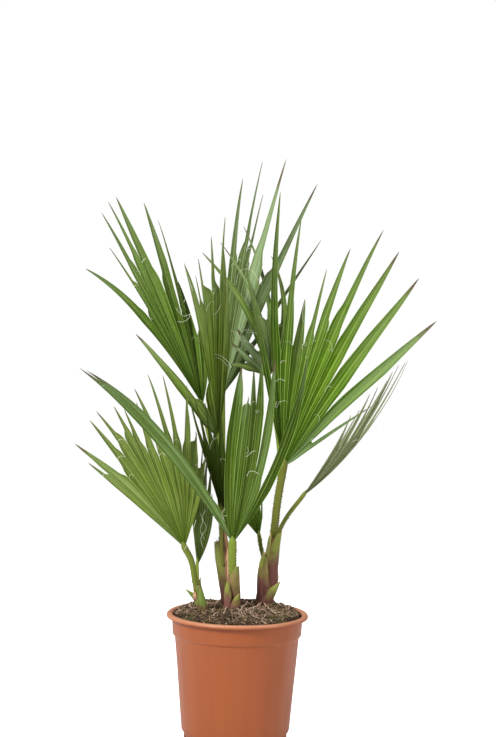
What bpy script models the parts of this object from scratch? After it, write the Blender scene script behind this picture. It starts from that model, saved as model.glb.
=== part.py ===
"""Three young Mexican fan palms in a terracotta-coloured plastic nursery pot.

The model stands on the floor at z = 0 with the pot's axis on the Z axis. The view of the
photograph looks along +Y, with +X to the right. All sizes below are in millimetres.
"""

import math

import bmesh
import bpy
from mathutils import Vector, noise

MM = 0.001

# Driving dimensions of the pot, a standard nursery pot 190 mm across its lip.
POT_HEIGHT = 168.0
LIP_RADIUS = 95.0
LIP_DROP = 5.2
COLLAR_TOP_RADIUS = 87.5
COLLAR_RADIUS = 86.3
COLLAR_FOOT = 138.5
BODY_TOP_RADIUS = 83.4
BODY_FOOT_RADIUS = 72.4
FOOT_RADIUS = 69.2
FOOT_HEIGHT = 10.0
POT_WALL = 1.6
POT_SIDES = 40
DRAIN_COUNT = 8
DRAIN_FIRST_ANGLE = math.radians(-29.5)
DRAIN_WIDTH = 10.0
DRAIN_HEIGHT = 5.0

# Driving dimensions of the soil.
SOIL_EDGE_HEIGHT = 165.5
SOIL_MOUND = 5.0
SOIL_BUMP = 1.6
SOIL_RINGS = 6
STEM_DEPTH = 25.0

# Sides of a stem and of the cut leaf bases on it.
STEM_SIDES = 14
STUB_SIDES = 6

# Clearance between pieces that touch.
GAP = 0.3

# Driving dimensions of a fan. A blade's stations are fractions of its length: it is joined
# to its neighbours up to the notch station and free from there to its tip.
BLADE_THICKNESS = 0.8
BLADE_STATIONS = (0.0, 0.12, 0.24, 0.36, 0.46, 0.55, 0.64, 0.72, 0.84, 1.0)
FAN_NOTCH = 4
FAN_INNER_RADIUS = 3.0
TIP_HALF_WIDTH = 0.5
NOTCH_STEP = 1.5
TAPER = 0.75
PETIOLE_SIDES = 6
PETIOLE_STEPS = 3
SOCKET_RINGS = 6

# Colours, as linear values.
POT_COLOUR = (0.43, 0.117, 0.048)
SOIL_COLOUR = (0.085, 0.05, 0.026)
SHEATH_COLOUR = (0.115, 0.075, 0.038)
LEAF_COLOUR = (0.06, 0.155, 0.018)
DARK_LEAF_COLOUR = (0.022, 0.055, 0.012)
OLIVE_LEAF_COLOUR = (0.075, 0.13, 0.025)

# Each stem is an oval column: rows of (x, y, z, half width, half depth), bottom to top.
# A stub is a cut leaf base on it: its route and its half widths along the route.
STEMS = {
    "stem_left": {
        "rings": [
            (-46, -20, 140, 6.4, 7.0),
            (-46, -20, 172, 6.8, 7.6),
            (-50, -20, 190, 6.4, 9.4),
            (-54, -20, 208, 6.0, 9.8),
        ],
        "stubs": [
            ([(-49, -25, 179), (-58, -27, 193), (-69, -29, 203)], (4.6, 3.8, 0.8)),
            ([(-46, -24, 173), (-46, -28, 184), (-50, -30, 202)], (4.2, 3.6, 0.8)),
        ],
    },
    "stem_middle": {
        "rings": [
            (-8, 18, 140, 12.0, 12.0),
            (-8, 18, 171, 12.6, 12.6),
            (-11, 17, 198, 12.0, 15.0),
            (-15, 14, 231, 8.6, 17.5),
            (-20, 14, 254, 5.8, 18.0),
        ],
        "stubs": [
            ([(-16, 9, 182), (-23, 3, 221), (-30, 2, 262)], (7.0, 5.5, 1.0)),
            ([(-5, 8, 181), (0, 1, 206), (0, -1, 229)], (6.5, 5.5, 1.2)),
            ([(-10, 8, 178), (-13, 0, 193), (-13, -3, 211)], (6.0, 5.0, 1.0)),
            ([(-5, 10, 178), (-3, 3, 184), (-2, -4, 192)], (5.0, 4.4, 0.8)),
        ],
    },
    "stem_right": {
        "rings": [
            (35, 47, 141, 11.5, 12.0),
            (35, 47, 171, 12.4, 13.0),
            (39, 47, 203, 10.6, 14.5),
            (44, 47, 238, 8.4, 17.0),
            (48, 47, 264, 7.6, 17.6),
        ],
        "stubs": [
            ([(33, 42, 179), (42, 33, 189), (55, 30, 205)], (7.4, 7.0, 1.0)),
            ([(35, 40, 194), (34, 36, 215), (36, 35, 239)], (6.0, 5.0, 1.4)),
            ([(41, 54, 183), (47, 59, 197), (52, 61, 212)], (6.0, 5.0, 1.0)),
        ],
    },
}

# Each frond is a petiole, whose route runs from inside its stem to the point where the
# blades meet, and a fan of blades given by their tips, side by side round the fan.
# "width" is the widest half blade, "fold" is how deep the fan is pleated and "bow" how far
# its blades arch, as shares of their width and length. "notches" moves single notches to
# another station, "widths" gives single blades their own width, "tapers" the station from
# which they narrow, and "bends" moves their middle by (x, z).
FRONDS = {
    "frond_left_low": {
        "route": [(-54, -24, 196), (-57, -26, 213), (-62, -31, 241), (-71, -35, 259)],
        "radii": (3.6, 4.2),
        "tips": [
            (-198, -60, 371), (-215, -57, 395), (-197, -54, 426), (-187, -51, 438),
            (-167, -48, 445), (-153, -45, 441), (-138, -44, 449), (-141, -43, 467),
            (-124, -40, 487), (-104, -37, 486), (-72, -34, 474), (-59, -31, 411),
            (-46, -29, 381),
        ],
        "width": 9,
        "fold": 0.55,
        "bow": 0.03,
        "notches": {1: 7, 2: 5, 3: 6, 4: 7, 5: 7, 6: 6, 7: 5, 8: 4, 9: 5, 10: 5, 11: 7, 12: 7},
        "widths": {0: 3.5},
        "tapers": {},
        "bends": {1: (4, 4), 2: (2, 2), 3: (3, 3), 4: (2, 1), 7: (10, 2), 8: (9, 1), 9: (7, 1)},
        "colour": OLIVE_LEAF_COLOUR,
    },
    "frond_left_folded": {
        "route": [(-52, -14, 195), (-54, -10, 215), (-55, -8, 231)],
        "radii": (2.4, 2.4),
        "tips": [
            (-70, -20, 400), (-59, -20, 411), (-51, -19, 393), (-44, -18, 377),
            (-39, -17, 357), (-37, -16, 330),
        ],
        "width": 6,
        "fold": 0.6,
        "bow": 0.0,
        "notches": {1: 6, 2: 6, 3: 6, 4: 7, 5: 7},
        "widths": {},
        "tapers": {},
        "bends": {4: (3, 0), 5: (6, 0)},
        "colour": DARK_LEAF_COLOUR,
    },
    "frond_front": {
        "route": [(-7, 4, 186), (-6, -4, 210), (-8, -13, 240), (-8, -20, 264)],
        "radii": (4.8, 5.4),
        "tips": [
            (-202, -125, 497), (-194, -118, 493), (1, -88, 502), (10, -86, 463),
            (15, -85, 502), (24, -82, 513), (40, -78, 513), (85, -60, 514),
        ],
        "width": 8.5,
        "fold": 0.6,
        "bow": 0.02,
        "notches": {1: 8, 2: 1, 3: 8, 4: 8, 5: 7, 6: 3, 7: 2},
        "widths": {0: 5, 1: 5, 4: 6, 5: 6, 6: 6, 7: 7},
        "tapers": {0: 6, 1: 6, 2: 6, 4: 7, 5: 7, 6: 6, 7: 6},
        "bends": {
            0: (-3, 17), 1: (4, 24), 2: (-9, 0), 3: (-5, 0), 4: (2, 0), 5: (6, 0),
            6: (11, 0), 7: (12, 0),
        },
        "colour": LEAF_COLOUR,
    },
    "frond_centre_dark": {
        "route": [(-20, -1, 232), (-23, -1, 258), (-24, 0, 286), (-24, 0, 303)],
        "radii": (2.8, 2.8),
        "tips": [
            (-72, -15, 462), (-61, -12, 456), (-49, -9, 450), (-38, -6, 447),
            (-27, -3, 440), (-7, 0, 400), (8, 2, 384),
        ],
        "width": 8,
        "fold": 0.5,
        "bow": 0.0,
        "notches": {1: 5, 2: 5, 3: 6, 4: 5},
        "widths": {},
        "tapers": {},
        "bends": {},
        "colour": DARK_LEAF_COLOUR,
    },
    "frond_centre_olive": {
        "route": [(-20, 8, 232), (-22, 9, 258), (-25, 17, 326), (-30, 25, 400)],
        "radii": (2.9, 2.9),
        "tips": [
            (-141, -30, 538), (-76, -70, 631), (-61, -56, 617), (-60, -42, 638),
            (-43, -20, 669), (-29, 4, 697), (-21, 24, 614),
        ],
        "width": 6.5,
        "fold": 0.7,
        "bow": 0.0,
        "notches": {1: 2, 2: 7, 3: 7, 4: 7, 5: 6, 6: 7},
        "widths": {1: 3, 2: 3, 3: 3.5, 4: 6, 5: 3.5, 6: 6},
        "tapers": {2: 7, 3: 7, 4: 6, 5: 6, 6: 6},
        "bends": {0: (0, 8), 1: (4, 0), 2: (1, 0), 3: (1, 0), 4: (-3, 0), 5: (-3, 0)},
        "colour": OLIVE_LEAF_COLOUR,
    },
    "frond_top_left": {
        "route": [(-20, 18, 232), (-22, 18, 258), (-31, 30, 346), (-53, 40, 443)],
        "radii": (2.9, 3.2),
        "tips": [
            (-215, 40, 625), (-184, 52, 654), (-195, 58, 704), (-186, 62, 719),
            (-176, 66, 725), (-140, 72, 719), (-119, 76, 698), (-91, 80, 611),
            (-82, 85, 636),
        ],
        "width": 8.5,
        "fold": 0.6,
        "bow": 0.02,
        "notches": {1: 4, 2: 6, 3: 6, 4: 6, 5: 5, 6: 4, 7: 6, 8: 4},
        "widths": {1: 2.5, 8: 3.5},
        "tapers": {},
        "bends": {0: (-4, 27), 1: (-3, 12), 8: (12, 0)},
        "colour": LEAF_COLOUR,
    },
    "frond_top": {
        "route": [(-19, 27, 232), (-21, 27, 258), (-23, 45, 346), (-26, 68, 457)],
        "radii": (2.9, 3.2),
        "tips": [
            (-6, 116, 757), (22, 112, 782), (26, 100, 735), (54, 76, 783), (98, 80, 748),
            (108, 112, 674),
        ],
        "width": 7,
        "fold": 0.6,
        "bow": 0.02,
        "notches": {1: 5, 2: 6, 3: 5, 4: 4, 5: 2},
        "widths": {0: 5, 1: 2.5, 2: 3, 5: 4},
        "tapers": {},
        "bends": {4: (-7, 0), 5: (-8, 0)},
        "colour": LEAF_COLOUR,
    },
    "frond_right": {
        "route": [(46, 47, 238), (48, 47, 272), (52, 43, 316), (59, 35, 362)],
        "radii": (5.4, 5.2),
        "tips": [
            (4, 30, 626), (47, 66, 738), (77, 58, 702), (84, 54, 590), (113, 48, 631),
            (143, 40, 659), (187, 30, 685), (209, 20, 655), (235, 8, 619), (257, -2, 563),
            (173, 5, 447),
        ],
        "width": 10.5,
        "fold": 0.55,
        "bow": 0.03,
        "notches": {1: 2, 2: 3, 3: 5, 4: 6, 5: 5, 6: 5, 7: 4, 8: 3, 9: 2, 10: 2},
        "widths": {0: 5.5, 1: 6.5, 2: 6, 10: 2.5},
        "tapers": {3: 7},
        "bends": {
            0: (-4, 0), 1: (-15, 0), 2: (-8, 0), 5: (-3, 1), 6: (-4, 1), 7: (-4, 2),
            8: (-2, 2),
        },
        "colour": LEAF_COLOUR,
    },
    "frond_right_low": {
        "route": [(48, 35, 238), (52, 34, 267), (64, 8, 297), (84, -20, 329)],
        "radii": (2.9, 2.9),
        "tips": [
            (141, -116, 443), (158, -112, 465), (174, -106, 480), (190, -99, 499),
            (214, -88, 511), (209, -73, 511), (203, -58, 505), (188, -42, 486),
            (170, -28, 467), (156, -16, 445),
        ],
        "width": 6.5,
        "fold": 0.5,
        "bow": 0.0,
        "notches": {},
        "widths": {},
        "tapers": {},
        "bends": {
            0: (1, -2), 1: (3, -6), 2: (4, -9), 3: (5, -11), 4: (6, -14), 5: (6, -13),
            6: (5, -12), 7: (4, -9), 8: (3, -6), 9: (2, -3),
        },
        "colour": OLIVE_LEAF_COLOUR,
    },
    "frond_small": {
        "route": [(37, 55, 198), (35, 66, 227), (31, 72, 244), (28, 75, 260)],
        "radii": (2.6, 2.8),
        "tips": [(0, 90, 302), (8, 100, 326), (17, 108, 336), (25, 112, 331), (31, 114, 315)],
        "width": 9,
        "fold": 0.5,
        "bow": 0.0,
        "notches": {},
        "widths": {},
        "tapers": {},
        "bends": {},
        "colour": LEAF_COLOUR,
    },
    "frond_back": {
        "route": [(46, 59, 238), (48, 61, 266), (54, 66, 368), (36, 62, 481)],
        "radii": (2.8, 3.0),
        "tips": [
            (-17, 54, 499), (-16, 50, 530), (-8, 44, 548), (-59, 40, 650), (-32, 57, 666),
            (-3, 86, 690), (38, 92, 648),
        ],
        "width": 5,
        "fold": 0.5,
        "bow": 0.0,
        "notches": {1: 5, 2: 4, 3: 2, 4: 3, 5: 3, 6: 3},
        "widths": {0: 7, 1: 8, 2: 7, 4: 3, 5: 4},
        "tapers": {},
        "bends": {0: (0, 5), 3: (15, 8), 4: (18, 0), 5: (17, 0), 6: (19, 0)},
        "colour": DARK_LEAF_COLOUR,
    },
}


def clear_scene():
    for obj in list(bpy.data.objects):
        bpy.data.objects.remove(obj, do_unlink=True)


def make_material(name, colour, roughness):
    material = bpy.data.materials.new(name)
    material.use_nodes = True
    shader = material.node_tree.nodes["Principled BSDF"]
    shader.inputs["Base Color"].default_value = (*colour, 1.0)
    shader.inputs["Roughness"].default_value = roughness
    shader.inputs["Metallic"].default_value = 0.0
    return material


def make_object(name, points, faces, material=None):
    """An object from points in millimetres, with its faces turned outwards."""
    mesh = bpy.data.meshes.new(name)
    mesh.from_pydata([Vector(point) * MM for point in points], [], faces)
    work = bmesh.new()
    work.from_mesh(mesh)
    bmesh.ops.triangulate(work, faces=work.faces)
    bmesh.ops.recalc_face_normals(work, faces=work.faces)
    work.to_mesh(mesh)
    work.free()
    obj = bpy.data.objects.new(name, mesh)
    bpy.context.scene.collection.objects.link(obj)
    if material:
        mesh.materials.append(material)
    return obj


def combine(target, others, operation, solver="EXACT"):
    """Joins other objects to the target, or cuts them from it, and removes them."""
    group = bpy.data.collections.new("operands")
    bpy.context.scene.collection.children.link(group)
    for other in others:
        bpy.context.scene.collection.objects.unlink(other)
        group.objects.link(other)
    modifier = target.modifiers.new("combine", "BOOLEAN")
    modifier.operation = operation
    modifier.operand_type = "COLLECTION"
    modifier.collection = group
    modifier.solver = solver
    view = bpy.context.evaluated_depsgraph_get()
    mesh = bpy.data.meshes.new_from_object(target.evaluated_get(view))
    target.modifiers.clear()
    old_mesh = target.data
    target.data = mesh
    bpy.data.meshes.remove(old_mesh)
    for other in list(group.objects):
        bpy.data.objects.remove(other, do_unlink=True)
    bpy.data.collections.remove(group)
    mesh.name = target.name


def smooth_route(points, steps):
    """Points along a smooth curve through the given ones, with even steps between them."""
    route = [Vector(point) for point in points]
    route = [2 * route[0] - route[1]] + route + [2 * route[-1] - route[-2]]
    smooth = []
    for i in range(1, len(route) - 2):
        before, start, end, after = route[i - 1:i + 3]
        for step in range(steps):
            t = step / steps
            smooth.append(0.5 * (
                2 * start + (end - before) * t
                + (2 * before - 5 * start + 4 * end - after) * t * t
                + (3 * start - before - 3 * end + after) * t ** 3
            ))
    smooth.append(route[-2])
    return smooth


def tube(name, route, widths, depth_share=1.0, sides=PETIOLE_SIDES, material=None):
    """A closed tube along a route. Its half depth is a share of its half width."""
    points = []
    side_axis = Vector((1.0, 0.0, 0.0))
    for i, centre in enumerate(route):
        along = (route[min(i + 1, len(route) - 1)] - route[max(i - 1, 0)]).normalized()
        across = (side_axis - along * side_axis.dot(along)).normalized()
        deep = along.cross(across)
        for k in range(sides):
            angle = 2 * math.pi * (k + 0.5) / sides
            points.append(
                centre + across * widths[i] * math.cos(angle)
                + deep * widths[i] * depth_share * math.sin(angle)
            )
    faces = [list(range(sides)), list(range(len(points) - sides, len(points)))]
    for i in range(len(route) - 1):
        for k in range(sides):
            low = i * sides
            high = low + sides
            following = (k + 1) % sides
            faces.append((low + k, low + following, high + following, high + k))
    return make_object(name, points, faces, material)


def spread(first, last, count):
    """Evenly spread values from the first to the last."""
    return [first + (last - first) * i / (count - 1) for i in range(count)]


def lathe(name, profile, sides, material=None):
    """A closed turned solid from an outline of (radius, height) that starts and ends on the axis."""
    points = []
    rings = []
    for radius, height in profile:
        if radius == 0:
            rings.append([len(points)] * sides)
            points.append((0.0, 0.0, height))
        else:
            rings.append([len(points) + k for k in range(sides)])
            for k in range(sides):
                angle = 2 * math.pi * k / sides
                points.append((radius * math.cos(angle), radius * math.sin(angle), height))
    faces = []
    for low, high in zip(rings, rings[1:]):
        for k in range(sides):
            following = (k + 1) % sides
            corners = [low[k], low[following], high[following], high[k]]
            faces.append(list(dict.fromkeys(corners)))
    return make_object(name, points, faces, material)


def body_radius(height):
    """The pot's outer radius on its straight tapering wall, under the collar."""
    share = (height - FOOT_HEIGHT) / (COLLAR_FOOT - FOOT_HEIGHT)
    return BODY_FOOT_RADIUS + (BODY_TOP_RADIUS - BODY_FOOT_RADIUS) * share


def inner_outline():
    """The inside of the pot's wall, from its base to just under the lip."""
    return [
        (FOOT_RADIUS - POT_WALL, POT_WALL),
        (FOOT_RADIUS - POT_WALL, FOOT_HEIGHT),
        (BODY_FOOT_RADIUS - POT_WALL, FOOT_HEIGHT + 2.0),
        (BODY_TOP_RADIUS - POT_WALL, COLLAR_FOOT - 1.0),
        (COLLAR_RADIUS - POT_WALL, COLLAR_FOOT + 1.5),
        (COLLAR_TOP_RADIUS - POT_WALL, SOIL_EDGE_HEIGHT),
    ]


def make_pot():
    """The pot is a thin moulded shell: foot, tapering wall, collar and a lip that turns down."""
    lip_foot = POT_HEIGHT - LIP_DROP
    lip_inside = LIP_RADIUS - POT_WALL
    outline = [
        (0, 0),
        (FOOT_RADIUS - 1.0, 0),
        (FOOT_RADIUS, 1.0),
        (FOOT_RADIUS, FOOT_HEIGHT - 1.5),
        (BODY_FOOT_RADIUS, FOOT_HEIGHT + 1.0),
        (body_radius(70.0), 70.0),
        (BODY_TOP_RADIUS, COLLAR_FOOT - 0.8),
        (COLLAR_RADIUS, COLLAR_FOOT + 0.8),
        (COLLAR_TOP_RADIUS, lip_foot - 0.6),
        (COLLAR_TOP_RADIUS, POT_HEIGHT - POT_WALL - 1.0),
        (COLLAR_TOP_RADIUS + 1.0, POT_HEIGHT - POT_WALL),
        (lip_inside - 0.8, POT_HEIGHT - POT_WALL),
        (lip_inside, POT_HEIGHT - POT_WALL - 1.0),
        (lip_inside - 0.3, lip_foot),
        (LIP_RADIUS - 0.3, lip_foot),
        (LIP_RADIUS, POT_HEIGHT - 2.4),
        (LIP_RADIUS - 0.7, POT_HEIGHT - 1.0),
        (LIP_RADIUS - 2.2, POT_HEIGHT),
        (COLLAR_TOP_RADIUS + 1.2, POT_HEIGHT),
        (COLLAR_TOP_RADIUS - 0.8, POT_HEIGHT - 1.2),
    ]
    outline += reversed(inner_outline())
    outline.append((0, POT_WALL))
    pot = lathe("pot", outline, POT_SIDES, make_material("terracotta plastic", POT_COLOUR, 0.45))
    combine(pot, drain_cutters(), "DIFFERENCE")
    return pot


def drain_cutters():
    """Blocks that cut the drainage notches out of the pot's lower edge."""
    cutters = []
    for i in range(DRAIN_COUNT):
        angle = DRAIN_FIRST_ANGLE + 2 * math.pi * i / DRAIN_COUNT
        outward = Vector((math.cos(angle), math.sin(angle), 0.0))
        across = Vector((-outward.y, outward.x, 0.0)) * DRAIN_WIDTH / 2
        points = []
        for height in (-1.0, DRAIN_HEIGHT):
            up = Vector((0.0, 0.0, height))
            for reach in (FOOT_RADIUS - 9.0, FOOT_RADIUS + 4.0):
                points += [outward * reach - across + up, outward * reach + across + up]
        faces = [(0, 1, 3, 2), (4, 5, 7, 6), (0, 1, 5, 4), (2, 3, 7, 6), (0, 2, 6, 4), (1, 3, 7, 5)]
        cutters.append(make_object("drain", points, faces))
    return cutters


def soil_height(x, y, edge):
    """The soil's surface: a low mound with small bumps that fade out at the pot's wall."""
    reach = min(1.0, math.hypot(x, y) / edge)
    bump = noise.noise(Vector((x, y, 0.0)) / 11.0) * SOIL_BUMP * 2
    return SOIL_EDGE_HEIGHT + (SOIL_MOUND + bump) * (1.0 - reach ** 4)


def make_soil():
    """The soil fills the pot to just under its lip, with a plain hole for each stem."""
    wall = [(radius - GAP, height) for radius, height in inner_outline()]
    wall[0] = (wall[0][0], POT_WALL + GAP)
    edge = wall[-1][0]
    points = [(0.0, 0.0, POT_WALL + GAP)]
    rings = [[0] * POT_SIDES]
    tops = [edge * (1 - i / SOIL_RINGS) for i in range(1, SOIL_RINGS)]
    for radius, height in wall + [(radius, None) for radius in tops]:
        rings.append([len(points) + k for k in range(POT_SIDES)])
        for k in range(POT_SIDES):
            angle = 2 * math.pi * k / POT_SIDES
            x = radius * math.cos(angle)
            y = radius * math.sin(angle)
            points.append((x, y, soil_height(x, y, edge) if height is None else height))
    rings.append([len(points)] * POT_SIDES)
    points.append((0.0, 0.0, soil_height(0.0, 0.0, edge)))
    faces = []
    for low, high in zip(rings, rings[1:]):
        for k in range(POT_SIDES):
            following = (k + 1) % POT_SIDES
            faces.append(list(dict.fromkeys([low[k], low[following], high[following], high[k]])))
    soil = make_object("soil", points, faces, make_material("potting soil", SOIL_COLOUR, 0.95))
    combine(soil, [stem_hole(stem["rings"]) for stem in STEMS.values()], "DIFFERENCE")
    return soil


def oval(x, y, z, half_width, half_depth, sides):
    return [
        (x + half_width * math.cos(2 * math.pi * k / sides),
         y + half_depth * math.sin(2 * math.pi * k / sides), z)
        for k in range(sides)
    ]


def loft(name, rings, material=None):
    """A closed solid through rings that have the same number of points."""
    sides = len(rings[0])
    points = [point for ring in rings for point in ring]
    faces = [list(range(sides)), list(range(len(points) - sides, len(points)))]
    for i in range(len(rings) - 1):
        for k in range(sides):
            low = i * sides
            high = low + sides
            following = (k + 1) % sides
            faces.append((low + k, low + following, high + following, high + k))
    return make_object(name, points, faces, material)


def stem_hole(rings):
    """The plain hole that a stem stands in, wider than the stem's foot all round."""
    x, y, foot, half_width, half_depth = rings[0]
    above = rings[1]
    wide = (above[3] + GAP + 0.1, above[4] + GAP + 0.1)
    return loft("hole", [
        oval(x, y, foot - GAP, *wide, STEM_SIDES),
        oval(above[0], above[1], above[2] + STEM_DEPTH, *wide, STEM_SIDES),
    ])


def make_stem(name, stem, colour, sockets):
    """A stem of wrapped leaf bases with cut stubs, hollowed where the petioles go in."""
    material = make_material(name, colour, 0.6)
    body = loft(name, [oval(*ring, STEM_SIDES) for ring in stem["rings"]], material)
    stubs = []
    for route, widths in stem["stubs"]:
        smooth = smooth_route(route, 2)
        first, middle, last = widths
        half = len(smooth) // 2
        along = spread(first, middle, half + 1) + spread(middle, last, len(smooth) - half)[1:]
        stubs.append(tube("stub", smooth, along, 0.55, sides=STUB_SIDES))
    combine(body, stubs, "UNION")
    combine(body, sockets, "DIFFERENCE")
    return body


def petiole(name, frond, extra, material=None):
    """The leaf stalk, with a knuckle past the point where the blades meet."""
    route = smooth_route(frond["route"], PETIOLE_STEPS)
    first, last = frond["radii"]
    widths = [radius + extra for radius in spread(first, last, len(route))]
    hastula = route[-1]
    middle = sum((Vector(tip) for tip in frond["tips"]), Vector()) / len(frond["tips"])
    onward = (middle - hastula).normalized()
    route.append(hastula + onward * 4.5)
    widths.append(last * 0.75 + extra)
    route.append(hastula + onward * 9.0)
    widths.append(1.2 + extra)
    return tube(name, route, widths, material=material)


def petiole_socket(frond):
    """A petiole's lower stretch with clearance round it, to cut from its stem."""
    route = smooth_route(frond["route"], PETIOLE_STEPS)[:SOCKET_RINGS]
    first, last = frond["radii"]
    start = route[0] - (route[1] - route[0]).normalized() * GAP
    rings = PETIOLE_STEPS * (len(frond["route"]) - 1) + 1
    clearance = GAP + 0.06
    widths = [radius + clearance for radius in spread(first, last, rings)[:SOCKET_RINGS]]
    return tube("socket", [start] + route[1:], widths)


def blade_normals(hastula, tips):
    """The fan's facing at each blade, on the side that the photograph sees."""
    rays = [(tip - hastula).normalized() for tip in tips]
    raw = []
    for i in range(len(rays)):
        before = rays[max(i - 1, 0)]
        after = rays[min(i + 1, len(rays) - 1)]
        raw.append(after.cross(before).normalized())
    normals = []
    for i in range(len(raw)):
        near = raw[max(i - 1, 0)] + raw[i] * 2 + raw[min(i + 1, len(raw) - 1)]
        normals.append(near.normalized())
    facing = sum(normals, Vector())
    sign = -1.0 if facing.y > 0 else 1.0
    return [normal * sign for normal in normals]


def fan(name, frond):
    """The blades: one pleated sheet round the hastula that parts into pointed strips.

    Both faces of the sheet use the same triangles, one blade thickness apart.
    """
    hastula = Vector(frond["route"][-1])
    tips = [Vector(tip) for tip in frond["tips"]]
    normals = blade_normals(hastula, tips)
    count = len(tips)
    stations = len(BLADE_STATIONS)

    def axis(i, k):
        reach = (tips[i] - hastula).length
        share = FAN_INNER_RADIUS / reach if k == 0 else BLADE_STATIONS[k]
        arch = 4 * share * (1 - share)
        bend_x, bend_z = frond["bends"].get(i, (0, 0))
        straight = hastula + (tips[i] - hastula) * share
        return straight + (normals[i] * reach * frond["bow"] + Vector((bend_x, 0, bend_z))) * arch

    def notch(j):
        return frond["notches"].get(j, FAN_NOTCH + j % 2)

    def gap_vector(i, side, k):
        """From a blade's middle line to the line halfway to its neighbour."""
        other = i + side
        if other < 0 or other >= count:
            return -gap_vector(i, -side, k)
        return (axis(other, k) - axis(i, k)) / 2

    def square_gap(i, side, k):
        """The part of the gap vector that stands square to the blade."""
        along = axis(i, min(k + 1, stations - 1)) - axis(i, max(k - 1, 0))
        between = gap_vector(i, side, k)
        return between - between.project(along)

    def full_width(i):
        spans = [square_gap(i, side, FAN_NOTCH).length for side in (-1, 1)]
        return min(max(spans), frond["widths"].get(i, frond["width"]))

    def taper_station(i):
        """A blade narrows from its deeper notch, but from the fan's notch station at least."""
        inner = [notch(j) for j in (i, i + 1) if 0 < j < count]
        return frond["tapers"].get(i, max(FAN_NOTCH, min(inner)))

    def edge(i, side, k):
        """A blade's edge: halfway to its neighbour where joined, past the notch by its own width."""
        across = square_gap(i, side, k)
        width = across.length
        aside = gap_vector(i, side, k)
        border = i if side < 0 else i + 1
        if border in (0, count) or k > notch(border):
            start = BLADE_STATIONS[taper_station(i)]
            free = max(0.0, (BLADE_STATIONS[k] - start) / (1 - start))
            own = (full_width(i) - TIP_HALF_WIDTH) * (1 - free) ** TAPER + TIP_HALF_WIDTH
            width = min(own, width * 0.9) if k < stations - 1 else TIP_HALF_WIDTH
            aside = across.normalized() * width
            if 0 < border < count:
                foot = (axis(border - 1, notch(border)) + axis(border, notch(border))) / 2
                onward = (tips[i] - hastula).normalized()
                behind = (foot - axis(i, k)).dot(onward) + NOTCH_STEP * (k - notch(border))
                aside += onward * max(0.0, behind)
        return axis(i, k) + aside + normals[i] * width * frond["fold"]

    points = []
    columns = []
    offsets = []
    borders = []
    for j in range(count + 1):
        left, right = j - 1, j
        column = {}
        for k in range(stations):
            joined = 0 < j < count and k <= notch(j)
            if joined:
                place = (edge(left, 1, k) + edge(right, -1, k)) / 2
                normal = (normals[left] + normals[right]).normalized()
                column[k] = (len(points), len(points))
                points.append(place)
                offsets.append(normal)
            else:
                pair = []
                for i, side in ((left, 1), (right, -1)):
                    if 0 <= i < count:
                        pair.append(len(points))
                        points.append(edge(i, side, k))
                        offsets.append(normals[i])
                    else:
                        pair.append(None)
                column[k] = tuple(pair)
        borders.append(column)
    for i in range(count):
        column = []
        for k in range(stations):
            column.append(len(points))
            points.append(axis(i, k))
            offsets.append(normals[i])
        columns.append(column)

    half = BLADE_THICKNESS / 2
    total = len(points)
    solid = [point + offset * half for point, offset in zip(points, offsets)]
    solid += [point - offset * half for point, offset in zip(points, offsets)]
    triangles = []
    for i in range(count):
        for k in range(stations - 1):
            left_low, left_high = borders[i][k][1], borders[i][k + 1][1]
            right_low, right_high = borders[i + 1][k][0], borders[i + 1][k + 1][0]
            low, high = columns[i][k], columns[i][k + 1]
            triangles += [(left_low, low, high), (left_low, high, left_high)]
            triangles += [(low, right_low, right_high), (low, right_high, high)]
    faces = list(triangles)
    faces += [(c + total, b + total, a + total) for a, b, c in triangles]
    directed = {(a, b) for t in triangles for a, b in ((t[0], t[1]), (t[1], t[2]), (t[2], t[0]))}
    for a, b in sorted(directed):
        if (b, a) not in directed:
            faces += [(b, a, a + total), (b, a + total, b + total)]
    return make_object(name, solid, faces)


def make_frond(name, frond):
    stalk = petiole(name, frond, 0.0, make_material(name, frond["colour"], 0.5))
    combine(stalk, [fan("fan", frond)], "UNION", "MANIFOLD")
    return stalk


def near_stem(frond, stem):
    """Whether a petiole starts inside a stem, told by its foot and the stem's height there."""
    foot = Vector(frond["route"][0])
    for x, y, z, half_width, half_depth in stem["rings"]:
        inside = abs(foot.x - x) < half_width + 6 and abs(foot.y - y) < half_depth
        if abs(foot.z - z) < 30 and inside:
            return True
    return False


def main():
    clear_scene()
    make_pot()
    make_soil()
    for name, frond in FRONDS.items():
        make_frond(name, frond)
    for name, stem in STEMS.items():
        sockets = [petiole_socket(frond) for frond in FRONDS.values() if near_stem(frond, stem)]
        make_stem(name, stem, SHEATH_COLOUR, sockets)


main()
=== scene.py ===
"""Three young Mexican fan palms in a nursery pot: the looks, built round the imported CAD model.

Sizes in the sections are in millimetres, in the CAD's own frame, and MM turns them into metres.
"""

import math
import random

import bpy
from mathutils import Matrix, Vector, noise


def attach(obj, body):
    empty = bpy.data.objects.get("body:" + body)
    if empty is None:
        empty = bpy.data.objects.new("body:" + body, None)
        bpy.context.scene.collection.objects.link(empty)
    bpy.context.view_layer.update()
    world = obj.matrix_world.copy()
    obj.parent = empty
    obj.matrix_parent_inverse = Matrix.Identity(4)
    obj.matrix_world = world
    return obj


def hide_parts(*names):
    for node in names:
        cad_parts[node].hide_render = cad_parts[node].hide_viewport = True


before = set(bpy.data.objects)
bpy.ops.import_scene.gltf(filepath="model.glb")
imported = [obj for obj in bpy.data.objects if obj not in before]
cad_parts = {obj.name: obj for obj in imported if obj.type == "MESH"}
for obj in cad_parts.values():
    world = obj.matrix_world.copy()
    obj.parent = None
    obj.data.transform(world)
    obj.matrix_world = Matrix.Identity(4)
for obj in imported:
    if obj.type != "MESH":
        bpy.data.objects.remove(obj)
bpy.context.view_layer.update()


# Studio. A sheet of white paper on the floor, large soft lamps at both sides and overhead, and
# the long lens of the photograph, which stands 2.2 m away and is turned by about a degree.
MM = 0.001


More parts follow.
